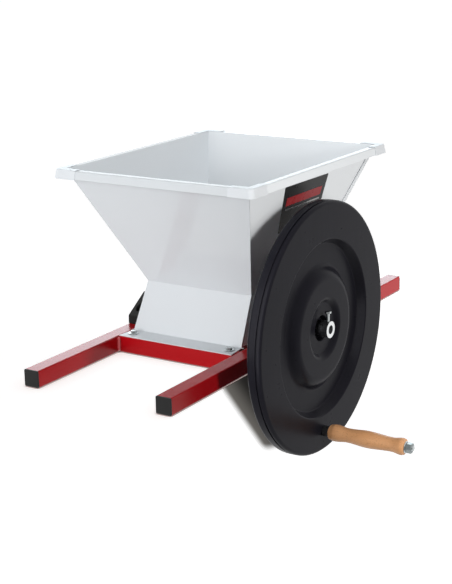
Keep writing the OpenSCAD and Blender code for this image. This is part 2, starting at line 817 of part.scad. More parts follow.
function tooth(pitch_r, base_r, tip_r, root_r) =
    let (half = 90 / gear_teeth - backlash / (2 * pitch_r) * 180 / PI)
    let (start = max(base_r, root_r))
    let (flank = [for (i = [0:FLANK_STEPS - 1])
        let (r = start + (tip_r - start) * i / (FLANK_STEPS - 1))
        [r, half + involute(pressure_angle) - involute(acos(min(1, base_r / r)))]])
    concat([[root_r, -flank[0][1]]], [for (p = flank) [p[0], -p[1]]],
        [for (i = [FLANK_STEPS - 1:-1:0]) flank[i]], [[root_r, flank[0][1]]]);

function gear_outline() =
    let (pitch_r = roller_pitch / 2, base_r = pitch_r * cos(pressure_angle))
    let (one = tooth(pitch_r, base_r, pitch_r + gear_module, pitch_r - 1.25 * gear_module))
    [for (i = [0:gear_teeth - 1], p = one)
        let (a = 360 * i / gear_teeth + p[1]) p[0] * [cos(a), sin(a)]];

module gear() {
    rim_x = gear_x + gear_hub_out;
    dish = (gear_w - web_t) / 2;
    hole_r = (gear_rim_r + gear_hub_d / 2) / 2;
    difference() {
        union() {
            along_x(rim_x, gear_w) polygon(gear_outline());
            rod_x(gear_x, gear_len, gear_hub_d / 2);
        }
        for (x = [rim_x - EPS, rim_x + gear_w - dish]) difference() {
            rod_x(x, dish + EPS, gear_rim_r);
            rod_x(x - EPS, dish + 3 * EPS, gear_hub_d / 2);
        }
        for (i = [0:web_hole_count - 1]) rotate([360 * (i + 0.5) / web_hole_count, 0, 0])
            translate([0, hole_r, 0]) rod_x(rim_x - EPS, gear_w + 2 * EPS, web_hole_d / 2);
        rod_x(gear_x - EPS, gear_len + 2 * EPS, shaft_r + seat_play);
        key_slot(gear_x - EPS, gear_len + 2 * EPS, key_play);
    }
}

IDLER_TURNS = [idler_turn(lobe_count), idler_turn(gear_teeth)];

module drive_shaft() { color(STEEL) on_drive_axis() shaft(drive_right, [0, 0], [left_ring_x]); }
module drive_roller() { color(ALUMINIUM) on_drive_axis() roller(); }
module drive_keys() { color(STEEL) on_drive_axis() keys([0, 0]); }
module drive_roller_screw() { color(STEEL) on_drive_axis() roller_screw(); }
module drive_ring() { color(STEEL) on_drive_axis() retaining_ring(left_ring_x); }
module drive_gear() { color(CAST_IRON) on_drive_axis() gear(); }

module idler_shaft() {
    color(STEEL) on_idler_axis() shaft(idler_right, IDLER_TURNS, [left_ring_x, idler_ring_x]);
}
module idler_roller() { color(ALUMINIUM) on_idler_axis() rotate([IDLER_TURNS[0], 0, 0]) roller(); }
module idler_keys() { color(STEEL) on_idler_axis() keys(IDLER_TURNS); }
module idler_roller_screw() { color(STEEL) on_idler_axis() rotate([IDLER_TURNS[0], 0, 0]) roller_screw(); }
module idler_rings() {
    color(STEEL) on_idler_axis() for (x = [left_ring_x, idler_ring_x]) retaining_ring(x);
}
module idler_gear() { color(CAST_IRON) on_idler_axis() rotate([IDLER_TURNS[1], 0, 0]) gear(); }

// Flywheel: one moulded profile turned about the shaft, as [radius, height over its back, rounding]
module flywheel_profile() {
    bore_r = sleeve_r + seat_play;
    front = wheel_t;
    polygon(rounded([
        [bore_r, -boss_h, 0], [boss_r, -boss_h, mould_r / 2], [boss_r, 0, mould_r],
        [plateau_r, 0, mould_r], [groove_in_r, back_groove_depth, mould_r],
        [groove_out_r, back_groove_depth, mould_r], [outer_ring_r, 0, mould_r],
        [wheel_r, 0, wheel_edge_r], [wheel_r, front, wheel_edge_r],
        [outer_ring_r, front, mould_r], [groove_out_r, front - groove_depth, mould_r],
        [groove_in_r, front - groove_depth, mould_r], [plateau_r, front, mould_r],
        [dish_r, front, mould_r], [dish_floor_r, front - dish_depth, mould_r],
        [well_r, front - dish_depth, mould_r / 2], [well_r, front - well_depth, 0],
        [bore_r, front - well_depth, 0]
    ]));
}

module flywheel() {
    color(PLASTIC_BLACK) difference() {
        on_drive_axis() translate([wheel_back, 0, 0]) rotate([0, 90, 0])
            rotate_extrude() flywheel_profile();
        on_handle_axis() rod_x(wheel_back - EPS, wheel_t + 2 * EPS, handle_bolt_r + hole_play);
        at_hub_screws() rod_x(flange_front - EPS, hub_screw_len, hub_screw_d / 2 + seat_play);
    }
}

// Hub sleeve with its flange behind the flywheel's boss
module hub_sleeve() {
    flange_x = flange_front - sleeve_flange_t;
    color(ZINC) difference() {
        on_drive_axis() difference() {
            union() {
                rod_x(sleeve_back, sleeve_front - sleeve_back, sleeve_r);
                rod_x(flange_x, sleeve_flange_t, sleeve_flange_d / 2);
            }
            rod_x(sleeve_back - EPS, sleeve_front - sleeve_back + 2 * EPS, shaft_r + seat_play);
            translate([set_bolt_x, 0, 0]) cylinder(h = sleeve_d, r = set_bolt_d / 2 + seat_play);
        }
        at_hub_screws() rod_x(flange_x - EPS, sleeve_flange_t + 2 * EPS, hub_screw_d / 2 + hole_play);
    }
}

module at_hub_screws() {
    on_drive_axis() for (i = [0:hub_screw_count - 1]) rotate([360 * i / hub_screw_count, 0, 0])
        translate([0, hub_screw_r, 0]) children();
}

module hub_screws() {
    color(ZINC) at_hub_screws() translate([flange_front - sleeve_flange_t, 0, 0]) rotate([0, -90, 0])
        hex_bolt(hub_screw_d, hub_screw_len);
}

module hub_set_bolt() {
    color(ZINC) on_drive_axis() translate([set_bolt_x, 0, shaft_r + key_play + set_bolt_len])
        hex_bolt(set_bolt_d, set_bolt_len);
}

// Handle: a long bolt through the flywheel, with the grip loose between two washers
module on_handle_axis() {
    translate([0, handle_y, handle_z]) children();
}

module handle_bolt() {
    seat_x = wheel_back - handle_washer_t;
    color(ZINC) on_handle_axis() translate([seat_x, 0, 0]) rotate([0, -90, 0])
        hex_bolt(handle_bolt_d, handle_bolt_end - seat_x);
}

module handle_washer(x) {
    on_handle_axis() translate([x, 0, 0]) rotate([0, 90, 0]) bored(handle_bolt_d, handle_washer_t)
        cylinder(h = handle_washer_t, d = handle_washer_d);
}

module handle_nut(x, h) {
    on_handle_axis() translate([x, 0, 0]) rotate([0, 90, 0]) bored(handle_bolt_d, h)
        hex(hex_flats(handle_bolt_d), h);
}

module handle_back_washer() { color(ZINC) handle_washer(wheel_back - handle_washer_t); }
module handle_base_nut() { color(PLASTIC_BLACK) handle_nut(wheel_front, base_nut_h); }
module handle_base_washer() { color(PLASTIC_BLACK) handle_washer(base_washer_x); }
module handle_end_washer() { color(ZINC) handle_washer(end_washer_x); }
module handle_end_nut() { color(ZINC) handle_nut(end_nut_x, end_nut_h); }

// Grip: swellings and waists joined by easy curves, as [share of the length, radius]
module handle_grip() {
    knots = [
        [0, grip_end_r], [0.02, 0.9 * grip_swell_r], [0.08, grip_swell_r], [0.25, grip_waist_r],
        [0.51, grip_swell_r], [0.83, grip_waist_r], [0.955, grip_swell_r], [0.985, 0.93 * grip_swell_r],
        [1, grip_end_r]
    ];
    bore_r = handle_bolt_r + run_play;
    curve = [for (k = [0:len(knots) - 2], i = [0:GRIP_STEPS - 1])
        let (a = knots[k], b = knots[k + 1], t = i / GRIP_STEPS)
        [a[1] + (b[1] - a[1]) * (1 - cos(180 * t)) / 2, grip_len * (a[0] + (b[0] - a[0]) * t)]];
    color(BEECH) on_handle_axis() translate([grip_x, 0, 0]) rotate([0, 90, 0]) rotate_extrude()
        polygon(concat([[bore_r, 0]], curve, [[grip_end_r, grip_len], [bore_r, grip_len]]));
}

left_leg();
right_leg();
front_cross_tube();
rear_cross_tube();
front_left_cap();
front_right_cap();
rear_left_cap();
rear_right_cap();
hopper_front_sheet();
hopper_rear_sheet();
hopper_left_sheet();
hopper_right_sheet();
front_left_rim_corner();
front_right_rim_corner();
rear_left_rim_corner();
rear_right_rim_corner();
front_throat_plate();
rear_throat_plate();
hopper_bolts();
hopper_washers();
hopper_weld_nuts();
left_bearing_block();
right_bearing_block();
block_bolts();
block_weld_nuts();
left_front_bush();
left_rear_bush();
right_front_bush();
right_rear_bush();
drive_shaft();
drive_roller();
drive_keys();
drive_roller_screw();
drive_ring();
idler_shaft();
idler_roller();
idler_keys();
idler_roller_screw();
idler_rings();
drive_gear();
idler_gear();
flywheel();
hub_sleeve();
hub_screws();
hub_set_bolt();
handle_bolt();
handle_back_washer();
handle_base_nut();
handle_base_washer();
handle_grip();
handle_end_washer();
handle_end_nut();
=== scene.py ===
"""Studio look of a hand-cranked grape crusher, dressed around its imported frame.

Lengths are in metres unless a name says mm. The axes are the frame's own: X runs across the machine
towards the flywheel, Y along the square tubes, and Z up from the tubes' undersides.
"""

import json
import math

import bmesh
import bpy
from mathutils import Matrix, Vector

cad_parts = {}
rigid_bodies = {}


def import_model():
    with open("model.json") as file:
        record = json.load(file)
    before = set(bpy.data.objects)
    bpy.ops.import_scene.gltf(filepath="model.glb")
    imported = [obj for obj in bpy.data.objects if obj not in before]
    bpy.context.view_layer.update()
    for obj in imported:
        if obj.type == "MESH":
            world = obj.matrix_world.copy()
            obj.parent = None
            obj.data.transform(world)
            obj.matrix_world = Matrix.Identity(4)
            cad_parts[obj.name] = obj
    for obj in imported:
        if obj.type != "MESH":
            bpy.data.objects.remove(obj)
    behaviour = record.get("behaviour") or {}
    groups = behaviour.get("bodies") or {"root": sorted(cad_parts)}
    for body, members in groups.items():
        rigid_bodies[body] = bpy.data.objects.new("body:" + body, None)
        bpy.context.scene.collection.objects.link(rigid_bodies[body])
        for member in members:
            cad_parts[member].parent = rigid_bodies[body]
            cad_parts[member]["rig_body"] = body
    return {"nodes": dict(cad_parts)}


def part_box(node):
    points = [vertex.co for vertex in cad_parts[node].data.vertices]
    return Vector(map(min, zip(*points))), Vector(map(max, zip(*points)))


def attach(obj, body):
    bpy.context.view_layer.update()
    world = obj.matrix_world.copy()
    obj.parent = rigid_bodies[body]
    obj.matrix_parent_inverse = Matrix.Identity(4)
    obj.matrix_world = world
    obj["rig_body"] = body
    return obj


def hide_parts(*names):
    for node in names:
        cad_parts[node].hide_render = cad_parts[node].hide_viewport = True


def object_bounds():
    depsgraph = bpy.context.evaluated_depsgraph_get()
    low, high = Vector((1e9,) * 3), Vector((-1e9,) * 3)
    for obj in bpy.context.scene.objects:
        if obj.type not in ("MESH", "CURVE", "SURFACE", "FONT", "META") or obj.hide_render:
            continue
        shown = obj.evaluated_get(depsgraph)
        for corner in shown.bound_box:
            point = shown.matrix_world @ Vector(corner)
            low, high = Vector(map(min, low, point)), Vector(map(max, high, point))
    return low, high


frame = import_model()
CAD_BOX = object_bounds()
NODES = frame["nodes"]
SLOT_OF = {name: node.data.materials[0].name for name, node in NODES.items()}
BODY_OF = {name: node["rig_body"] for name, node in NODES.items()}
MM = 0.001
X, Y = 0, 1

# The hopper's right wall, met from outside: a point on its outer face and the way it faces
WALL_PROBE = Vector((1, 0, 0.27))
bpy.context.view_layer.update()
_, WALL_AT, WALL_FACES, _ = NODES["hopper_right_sheet"].ray_cast(WALL_PROBE, Vector((-1, 0, 0)))

# Camera, standing where the photograph was taken
CAMERA_AT = Vector((1.3175, -2.0984, 0.7755))
CAMERA_YAW = math.radians(32.24)
CAMERA_PITCH = math.radians(15.63)
CAMERA_ROLL = math.radians(-1.04)
CAMERA_LENS_MM = 84.79
CAMERA_REACH = 50


def add_camera():
    data = bpy.data.cameras.new("camera")
    data.lens = CAMERA_LENS_MM
    data.clip_end = CAMERA_REACH
    level = Vector((math.cos(CAMERA_YAW), math.sin(CAMERA_YAW), 0))
    ahead = Vector((
        -math.sin(CAMERA_YAW) * math.cos(CAMERA_PITCH),
        math.cos(CAMERA_YAW) * math.cos(CAMERA_PITCH),
        -math.sin(CAMERA_PITCH),
    ))
    above = level.cross(ahead)
    right = math.cos(CAMERA_ROLL) * level + math.sin(CAMERA_ROLL) * above
    up = right.cross(ahead)
    camera = bpy.data.objects.new("camera", data)
    turn = Matrix((right, up, -ahead)).transposed()
    camera.matrix_world = Matrix.Translation(CAMERA_AT) @ turn.to_4x4()
    bpy.context.scene.collection.objects.link(camera)
    bpy.context.scene.camera = camera


# Shader nodes; a Mix node keeps its two colours and their mix at these sockets
MIX_FIRST = 6
MIX_SECOND = 7
MIX_RESULT = 2


def add_node(tree, kind, inputs=None, **settings):
    """A node with its settings; each input is a value or another node's output."""
    made = tree.nodes.new(kind)
    for key, value in settings.items():
        setattr(made, key, value)
    for key, value in (inputs or {}).items():
        if isinstance(value, bpy.types.NodeSocket):
            tree.links.new(value, made.inputs[key])
        else:
            made.inputs[key].default_value = value
    return made


def map_range(tree, value, span, result, **settings):
    """A value that runs over span, turned into one that runs over result."""
    return add_node(tree, "ShaderNodeMapRange", {
        "Value": value, "From Min": span[0], "From Max": span[1], "To Min": result[0], "To Max": result[1],
    }, **settings).outputs["Result"]


def mix_colours(tree, factor, first, second):
    """A colour between two; each is a linear RGB triple or another node's output."""
    ends = [c if isinstance(c, bpy.types.NodeSocket) else (*c, 1) for c in (first, second)]
    inputs = {"Factor": factor, MIX_FIRST: ends[0], MIX_SECOND: ends[1]}
    return add_node(tree, "ShaderNodeMix", inputs, data_type="RGBA").outputs[MIX_RESULT]


# Finishes. Sizes and depths of their textures are in metres, and colours are linear RGB
NOISE_REACH = (0.25, 0.75)
NOISE_ROUGHNESS = 0.55
COAT_ROUGHNESS = 0.1
BEECH_BANDS = ((0.69, 0.345, 0.15), (0.79, 0.41, 0.19))
BEECH_STREAK = (0.58, 0.26, 0.11)
BEECH_FLECK = (0.52, 0.24, 0.1)
FLECK_SPAN = (0.66, 0.76)
SLEEVE_STEEL = ((0.26, 0.27, 0.28), (0.36, 0.37, 0.38))
SLEEVE_TURNED = ((0.78, 0.79, 0.8), (0.88, 0.89, 0.9))
TURNED_FACE_MM = 0.5


def shade(colour, share):
    return tuple(share * c for c in colour)


class Finish:
    """A Principled material whose colour, roughness and relief come from textures in the frame's axes."""

    def __init__(self, name, **constants):
        self.material = bpy.data.materials.new(name)
        self.material.use_nodes = True
        self.tree = self.material.node_tree
        self.shader = self.tree.nodes["Principled BSDF"]
        for socket, value in constants.items():
            self.shader.inputs[socket.replace("_", " ")].default_value = value
        self.place = add_node(self.tree, "ShaderNodeTexCoord").outputs["Object"]

    def wire(self, output, socket):
        self.tree.links.new(output, self.shader.inputs[socket])

    def noise(self, size, detail=2.0, stretch=(1, 1, 1)):
        """Cloudy values from 0 to 1 whose lumps are about size across, drawn out by stretch."""
        scale = [1 / s for s in stretch]
        spot = add_node(self.tree, "ShaderNodeMapping", {"Vector": self.place, "Scale": scale})
        cloud = add_node(self.tree, "ShaderNodeTexNoise", {
            "Vector": spot.outputs["Vector"], "Scale": 1 / size, "Detail": detail,
            "Roughness": NOISE_ROUGHNESS,
        })
        return cloud.outputs["Fac"]

    def remap(self, noise, low, high):
        """A noise value, over its usual reach, as a number from low to high."""
        return map_range(self.tree, noise, NOISE_REACH, (low, high))

    def mix(self, factor, first, second):
        return mix_colours(self.tree, factor, first, second)

    def clouded(self, colour, size, spread, detail=2.0):
        """A colour that grows darker and lighter by the share spread, in clouds of the given size."""
        return self.mix(self.noise(size, detail), shade(colour, 1 - spread), shade(colour, 1 + spread))

    def colour(self, output):
        self.wire(output, "Base Color")

    def roughness(self, noise, low, high):
        self.wire(self.remap(noise, low, high), "Roughness")

    def relief(self, height, depth):
        bump = add_node(self.tree, "ShaderNodeBump", {"Height": height, "Distance": depth, "Strength": 1.0})
        self.wire(bump.outputs["Normal"], "Normal")


def paint(name, colour, roughness, peel, specular, coat):
    """Gloss powder coat: a nearly even colour, a faint orange peel and slightly uneven gloss."""
    finish = Finish(name, Specular_IOR_Level=specular, Coat_Weight=coat, Coat_Roughness=COAT_ROUGHNESS)
    finish.colour(finish.clouded(colour, size=0.15, spread=0.01, detail=1))
    finish.roughness(finish.noise(size=0.05, detail=1), *roughness)
    finish.relief(finish.noise(size=0.0016, detail=1), depth=peel)
    return finish.material


def moulding(name, colour, roughness, grain, depth, specular):
    """Satin moulded plastic: fine grain, with faint broad clouds in its colour and gloss."""
    finish = Finish(name, Specular_IOR_Level=specular)
    finish.colour(finish.clouded(colour, size=0.05, spread=0.12))
    finish.roughness(finish.noise(size=0.02), *roughness)
    finish.relief(finish.noise(size=grain, detail=3), depth)
    return finish.material


def wheel_moulding(colour, roughness, specular):
    """Satin black plastic with broad clouds and faint streaks left by handling."""
    finish = Finish("black_wheel_moulding", Specular_IOR_Level=specular)
    clouds = finish.clouded(colour, size=0.06, spread=0.2)
    streaks = finish.noise(size=0.004, detail=3, stretch=(1, 1, 18))
    finish.colour(finish.mix(finish.remap(streaks, low=0, high=0.5), clouds, shade(colour, share=1.3)))
    finish.roughness(finish.noise(size=0.02), *roughness)
    finish.relief(finish.noise(size=0.0007, detail=3), depth=0.000012)
    return finish.material


def metal(name, dark, light, roughness, grain, depth, metallic=1.0, stretch=(1, 1, 1)):
    """Bare or plated metal: mottled between two tints, with uneven gloss and a fine surface."""
    finish = Finish(name, Metallic=metallic)
    finish.colour(finish.mix(finish.noise(size=0.006, stretch=stretch), dark, light))
    finish.roughness(finish.noise(size=0.004, stretch=stretch), *roughness)
    finish.relief(finish.noise(size=grain, stretch=stretch), depth)
    return finish.material


def beech():
    """Varnished beech with its grain along X: soft bands, fine streaks and short dark flecks."""
    finish = Finish("varnished_beech", Coat_Weight=0.35, Coat_Roughness=0.22)
    bands = finish.noise(size=0.007, stretch=(14, 1, 1))
    streaks = finish.noise(size=0.0012, detail=3, stretch=(30, 1, 1))
    flecks = finish.noise(size=0.0008, detail=0, stretch=(4, 1, 1))
    wood = finish.mix(finish.remap(bands, low=0, high=1), *BEECH_BANDS)
    wood = finish.mix(finish.remap(streaks, low=0, high=0.25), wood, BEECH_STREAK)
    finish.colour(finish.mix(map_range(finish.tree, flecks, FLECK_SPAN, (0, 1)), wood, BEECH_FLECK))
    finish.roughness(streaks, low=0.42, high=0.55)
    finish.relief(streaks, depth=0.00005)
    return finish.material


def turned_sleeve(face_x):
    """Oiled steel with a bright turned face: everything beyond face_x, with fine marks all over."""
    finish = Finish("turned_sleeve", Metallic=1.0)
    along = add_node(finish.tree, "ShaderNodeSeparateXYZ", {"Vector": finish.place}).outputs["X"]
    bright = add_node(finish.tree, "ShaderNodeMath", {0: along, 1: face_x}, operation="GREATER_THAN")
    steel = finish.mix(finish.noise(size=0.005), *SLEEVE_STEEL)
    turned = finish.mix(finish.noise(size=0.0015), *SLEEVE_TURNED)
    finish.colour(finish.mix(bright.outputs["Value"], steel, turned))
    finish.roughness(finish.noise(size=0.003), low=0.26, high=0.34)
    finish.relief(finish.noise(size=0.0004), depth=0.000008)
    return finish.material


FINISHES = {
    "white_paint": paint(
        "gloss_white_paint", colour=(0.755, 0.792, 0.822), roughness=(0.29, 0.31), peel=0.000005,
        specular=0.05, coat=0.7),
    "white_plastic": paint(
        "gloss_white_plastic", colour=(0.79, 0.825, 0.86), roughness=(0.31, 0.34), peel=0.000006,
        specular=0.2, coat=0.0),
    "red_paint": paint(
        "gloss_red_paint", colour=(0.44, 0.004, 0.008), roughness=(0.25, 0.27), peel=0.000008,
        specular=0.28, coat=0.0),
    "cap_plastic": moulding(
        "black_cap_plastic", colour=(0.024,) * 3, roughness=(0.4, 0.5), grain=0.0006, depth=0.00002,
        specular=0.25),
    "black_plastic": wheel_moulding(
        colour=(0.0135, 0.0132, 0.0185), roughness=(0.27, 0.33), specular=0.052),
    "black_nylon": moulding(
        "black_nylon", colour=(0.016,) * 3, roughness=(0.4, 0.5), grain=0.0008, depth=0.00003,
        specular=0.2),
    "bronze": metal(
        "oiled_bronze", dark=(0.40, 0.25, 0.11), light=(0.56, 0.37, 0.18), roughness=(0.28, 0.42),
        grain=0.0005, depth=0.00003),
    "zinc": metal(
        "bright_zinc", dark=(0.5, 0.53, 0.54), light=(0.66, 0.69, 0.69), roughness=(0.16, 0.26),
        grain=0.0004, depth=0.000012),
    "steel": metal(
        "oiled_steel", dark=(0.07, 0.07, 0.075), light=(0.14, 0.14, 0.145), roughness=(0.3, 0.44),
        grain=0.0003, depth=0.00001, stretch=(0.15, 1, 1)),
    "black_steel": metal(
        "blackened_steel", dark=(0.016, 0.016, 0.018), light=(0.035, 0.034, 0.034),
        roughness=(0.34, 0.5), grain=0.0005, depth=0.00001, metallic=0.5),
    "aluminium": metal(
        "cast_aluminium", dark=(0.56, 0.57, 0.59), light=(0.7, 0.71, 0.73), roughness=(0.36, 0.52),
        grain=0.0014, depth=0.00012),
    "cast_iron": metal(
        "oiled_cast_iron", dark=(0.07, 0.072, 0.076), light=(0.13, 0.132, 0.138),
        roughness=(0.38, 0.55), grain=0.0012, depth=0.0001, metallic=0.85),
    "beech": beech(),
}
for name, node in NODES.items():
    node.data.materials[0] = FINISHES[SLOT_OF[name]]
DULL_ZINC = metal(
    "dull_zinc", dark=(0.22, 0.25, 0.255), light=(0.34, 0.37, 0.37), roughness=(0.22, 0.34),
    grain=0.0004, depth=0.000012)
SLEEVE_FINISH = turned_sleeve(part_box("hub_sleeve")[1].x - TURNED_FACE_MM * MM)


# Mesh helpers
WELD = 1e-5
FLAT_ANGLE = math.radians(0.3)
SHARP_ANGLE = math.radians(32)
EDGE_SEGMENTS = 2


def new_piece(name, mesh, slot, body, material=None):
    """A bmesh as a finished piece that rides on a body."""
    data = bpy.data.meshes.new(name)
    bmesh.ops.recalc_face_normals(mesh, faces=mesh.faces)
    for face in mesh.faces:
        face.smooth = True
    for edge in mesh.edges:
        edge.smooth = len(edge.link_faces) == 2 and edge.calc_face_angle() < SHARP_ANGLE
    mesh.to_mesh(data)
    mesh.free()
    data.materials.append(material or FINISHES[slot])
    piece = bpy.data.objects.new(name, data)
    bpy.context.scene.collection.objects.link(piece)
    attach(piece, body)
    return piece


def even_shading(piece):
    """Broad faces keep their own normals beside narrow roundings."""
    modifier = piece.modifiers.new("even_shading", "WEIGHTED_NORMAL")
    modifier.mode = "FACE_AREA"
    modifier.keep_sharp = True


def node_mesh(node):
    """A CAD node's mesh with its split vertices joined."""
    mesh = bmesh.new()
    mesh.from_mesh(NODES[node].data)
    for layer in list(mesh.loops.layers.float_vector.values()):
        mesh.loops.layers.float_vector.remove(layer)
    bmesh.ops.remove_doubles(mesh, verts=mesh.verts, dist=WELD)
    return mesh


def solids(node):
    """The boxes of the separate solids in a node, as (low, high) corners in a fixed order."""
    mesh = node_mesh(node)
    left = set(mesh.verts)
    boxes = []
    while left:
        group, frontier = set(), [left.pop()]
        while frontier:
            vert = frontier.pop()
            group.add(vert)
            near = {e.other_vert(vert) for e in vert.link_edges} & left
            left -= near
            frontier.extend(near)
        corners = [[f(v.co[i] for v in group) for i in range(3)] for f in (min, max)]
        boxes.append((Vector(corners[0]), Vector(corners[1])))
    mesh.free()
    return sorted(boxes, key=lambda box: tuple(round(c, 6) for c in box[0]))


def eased_corner(before, corner, after, reach, steps):
    """A corner of an outline turned into a short curve that starts and ends at reach from it."""
    start = corner + (before - corner).normalized() * reach
    end = corner + (after - corner).normalized() * reach
    shares = [k / steps for k in range(steps + 1)]
    return [(1 - t) ** 2 * start + 2 * t * (1 - t) * corner + t ** 2 * end for t in shares]


def thin_plate(mesh, lower, upper):
    """Closes two outlines of as many points into a plate."""
    lower = [mesh.verts.new(p) for p in lower]
    upper = [mesh.verts.new(p) for p in upper]
    mesh.faces.new(lower)
    mesh.faces.new(list(reversed(upper)))
    for i in range(len(lower)):
        j = (i + 1) % len(lower)
        mesh.faces.new((lower[i], upper[i], upper[j], lower[j]))


def tube(mesh, loops):
    """Faces from each closed loop of vertices to the next."""
    for lower, upper in zip(loops, loops[1:]):
        for i in range(len(lower)):
            j = (i + 1) % len(lower)
            mesh.faces.new((lower[i], lower[j], upper[j], upper[i]))


# The rim's lips and corner pieces end higher than those of the solids. A lip's foot is what lies in the
# rim's outer band and in a zone below its top, and a cut is its height and the axes on which the lip leans
LIP_LEAN = 3 / 18
LIP_BAND = 0.008
LIP_ZONE = (0.01, 0.026)
LIP_CUT = 0.0035
CORNER_CUT = 0.005
LIP_CUTS = {f"hopper_{side}_sheet": (LIP_CUT, [Y]) for side in ("front", "rear")}
LIP_CUTS |= {f"hopper_{side}_sheet": (LIP_CUT, [X]) for side in ("left", "right")}
LIP_CUTS |= {n: (CORNER_CUT, [X, Y]) for n in NODES if n.endswith("_rim_corner")}


def cut_lip(mesh, cut, axes):
    """Ends the rim's turned-down lip higher up, along its own lean outwards on the given axes."""
    top = max(v.co.z for v in mesh.verts)
    reach = {i: max(abs(v.co[i]) for v in mesh.verts) - LIP_BAND for i in axes}
    for vert in mesh.verts:
        leaning = [i for i in axes if abs(vert.co[i]) > reach[i]]
        if leaning and LIP_ZONE[0] < top - vert.co.z < LIP_ZONE[1]:
            vert.co.z += cut
            for i in leaning:
                vert.co[i] -= math.copysign(cut * LIP_LEAN, vert.co[i])


# Edges of the CAD pieces: how far each kind is rounded over, in millimetres
EASED_MM = {
    0.25: [n for n in NODES if n.startswith("hopper_") and n.endswith("_sheet")]
    + [n for n in NODES if n.endswith(("_throat_plate", "_cap", "_cross_tube", "_leg"))],
    0.3: [n for n in NODES if n.endswith(("_bush", "_ring", "_rings", "_gear"))],
    0.45: [n for n in NODES if n.endswith("_rim_corner")],
    0.6: [n for n in NODES if n.endswith(("_roller", "_shaft", "_bearing_block"))],
}
SLEEVE_EASED_MM = 0.4


def eased(node, width, material=None):
    """A copy of a node with its sharp edges rounded over, standing for the node."""
    mesh = node_mesh(node)
    if node in LIP_CUTS:
        cut_lip(mesh, *LIP_CUTS[node])
    bmesh.ops.dissolve_limit(mesh, angle_limit=FLAT_ANGLE, verts=mesh.verts, edges=mesh.edges)
    piece = new_piece(node + ".eased", mesh, SLOT_OF[node], BODY_OF[node], material)
    edges = piece.modifiers.new("eased_edges", "BEVEL")
    edges.limit_method = "ANGLE"
    edges.angle_limit = SHARP_ANGLE
    edges.width = width
    edges.segments = EDGE_SEGMENTS
    even_shading(piece)
    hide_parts(node)


for width_mm, names in EASED_MM.items():
    for name in names:
        eased(name, width_mm * MM)
eased("hub_sleeve", SLEEVE_EASED_MM * MM, SLEEVE_FINISH)


# Flywheel: broad roundings on its raised middle, as (height, radius, reach), and a seam round its tread,
# as (height, radius). All are in mm, with heights over the wheel's back and radii from its axis
WHEEL_T = 27
WHEEL_STEPS = 10
WHEEL_FLOOR_RING = (11, 149.25)
WHEEL_DISH_RING = (19, 44.76)
WHEEL_MIDDLE = [(11, 111, 6), (27, 97, 10), (27, 54, 4.5), (19, 46, 1.2)]
TREAD_RINGS = ((6, 227), (21, 227))
TREAD_SEAM = [(16.8, 227), (17.2, 226.7), (17.5, 225.2), (19.9, 225.2), (20.2, 226.7), (20.6, 227)]
RING_MARGIN = 0.02


class Lathe:
    """A turned mesh whose surface between two of its circles can be turned again to another profile."""

    def __init__(self, node, thickness):
        self.mesh = node_mesh(node)
        low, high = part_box(node)
        self.centre = (low + high) / 2
        self.back = high.x - thickness * MM

    def place(self, vert):
        """A vertex as its height over the back and its radius, in mm, and its angle."""
        off = vert.co - self.centre
        return (vert.co.x - self.back) / MM, math.hypot(off.y, off.z) / MM, math.atan2(off.z, off.y)

    def point(self, height, radius, angle):
        return (
            self.back + height * MM,
            self.centre.y + radius * MM * math.cos(angle),
            self.centre.z + radius * MM * math.sin(angle),
        )

    def circle(self, height, radius):
        """The vertices on a circle, each with its angle, in the order of their angles."""
        found = []
        for vert in self.mesh.verts:
            h, r, angle = self.place(vert)
            if abs(h - height) < RING_MARGIN and abs(r - radius) < RING_MARGIN:
                found.append((angle, vert))
        return sorted(found, key=lambda pair: pair[0])

    def turn(self, first, last, profile):
        """Replaces the faces between two circles by ones that follow the profile."""
        lows = [min(a, b) - RING_MARGIN for a, b in zip(first, last)]
        tops = [max(a, b) + RING_MARGIN for a, b in zip(first, last)]
        heights = [h for h, _ in profile]
        lows[0], tops[0] = min(lows[0], *heights), max(tops[0], *heights) + RING_MARGIN
        inside = {v for v in self.mesh.verts
                  if all(lo <= c <= hi for c, lo, hi in zip(self.place(v), lows, tops))}
        faces = [f for f in self.mesh.faces if inside.issuperset(f.verts)]
        bmesh.ops.delete(self.mesh, geom=faces, context="FACES")
        start, stop = self.circle(*first), self.circle(*last)
        loops = [[vert for _, vert in start]]
        for height, radius in profile:
            loops.append([self.mesh.verts.new(self.point(height, radius, angle)) for angle, _ in start])
        tube(self.mesh, loops)
        ends = {vert for _, vert in stop} | set(loops[-1])
        rims = [e for e in self.mesh.edges if e.is_boundary and ends.issuperset(e.verts)]
        bmesh.ops.bridge_loops(self.mesh, edges=rims)
        loose = [v for v in self.mesh.verts if not v.link_faces]
        bmesh.ops.delete(self.mesh, geom=loose, context="VERTS")


def turned_flywheel():
    wheel = Lathe("flywheel", WHEEL_T)
    corners = [WHEEL_FLOOR_RING, *(c[:2] for c in WHEEL_MIDDLE), WHEEL_DISH_RING]
    corners = [Vector(c) for c in corners]
    profile = []
    for i, (_, _, reach) in enumerate(WHEEL_MIDDLE, 1):
        profile += eased_corner(corners[i - 1], corners[i], corners[i + 1], reach, WHEEL_STEPS)
    wheel.turn(WHEEL_FLOOR_RING, WHEEL_DISH_RING, [tuple(p) for p in profile])
    wheel.turn(*TREAD_RINGS, TREAD_SEAM)
    piece = new_piece("flywheel.turned", wheel.mesh, SLOT_OF["flywheel"], BODY_OF["flywheel"])
    even_shading(piece)
    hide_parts("flywheel")


turned_flywheel()


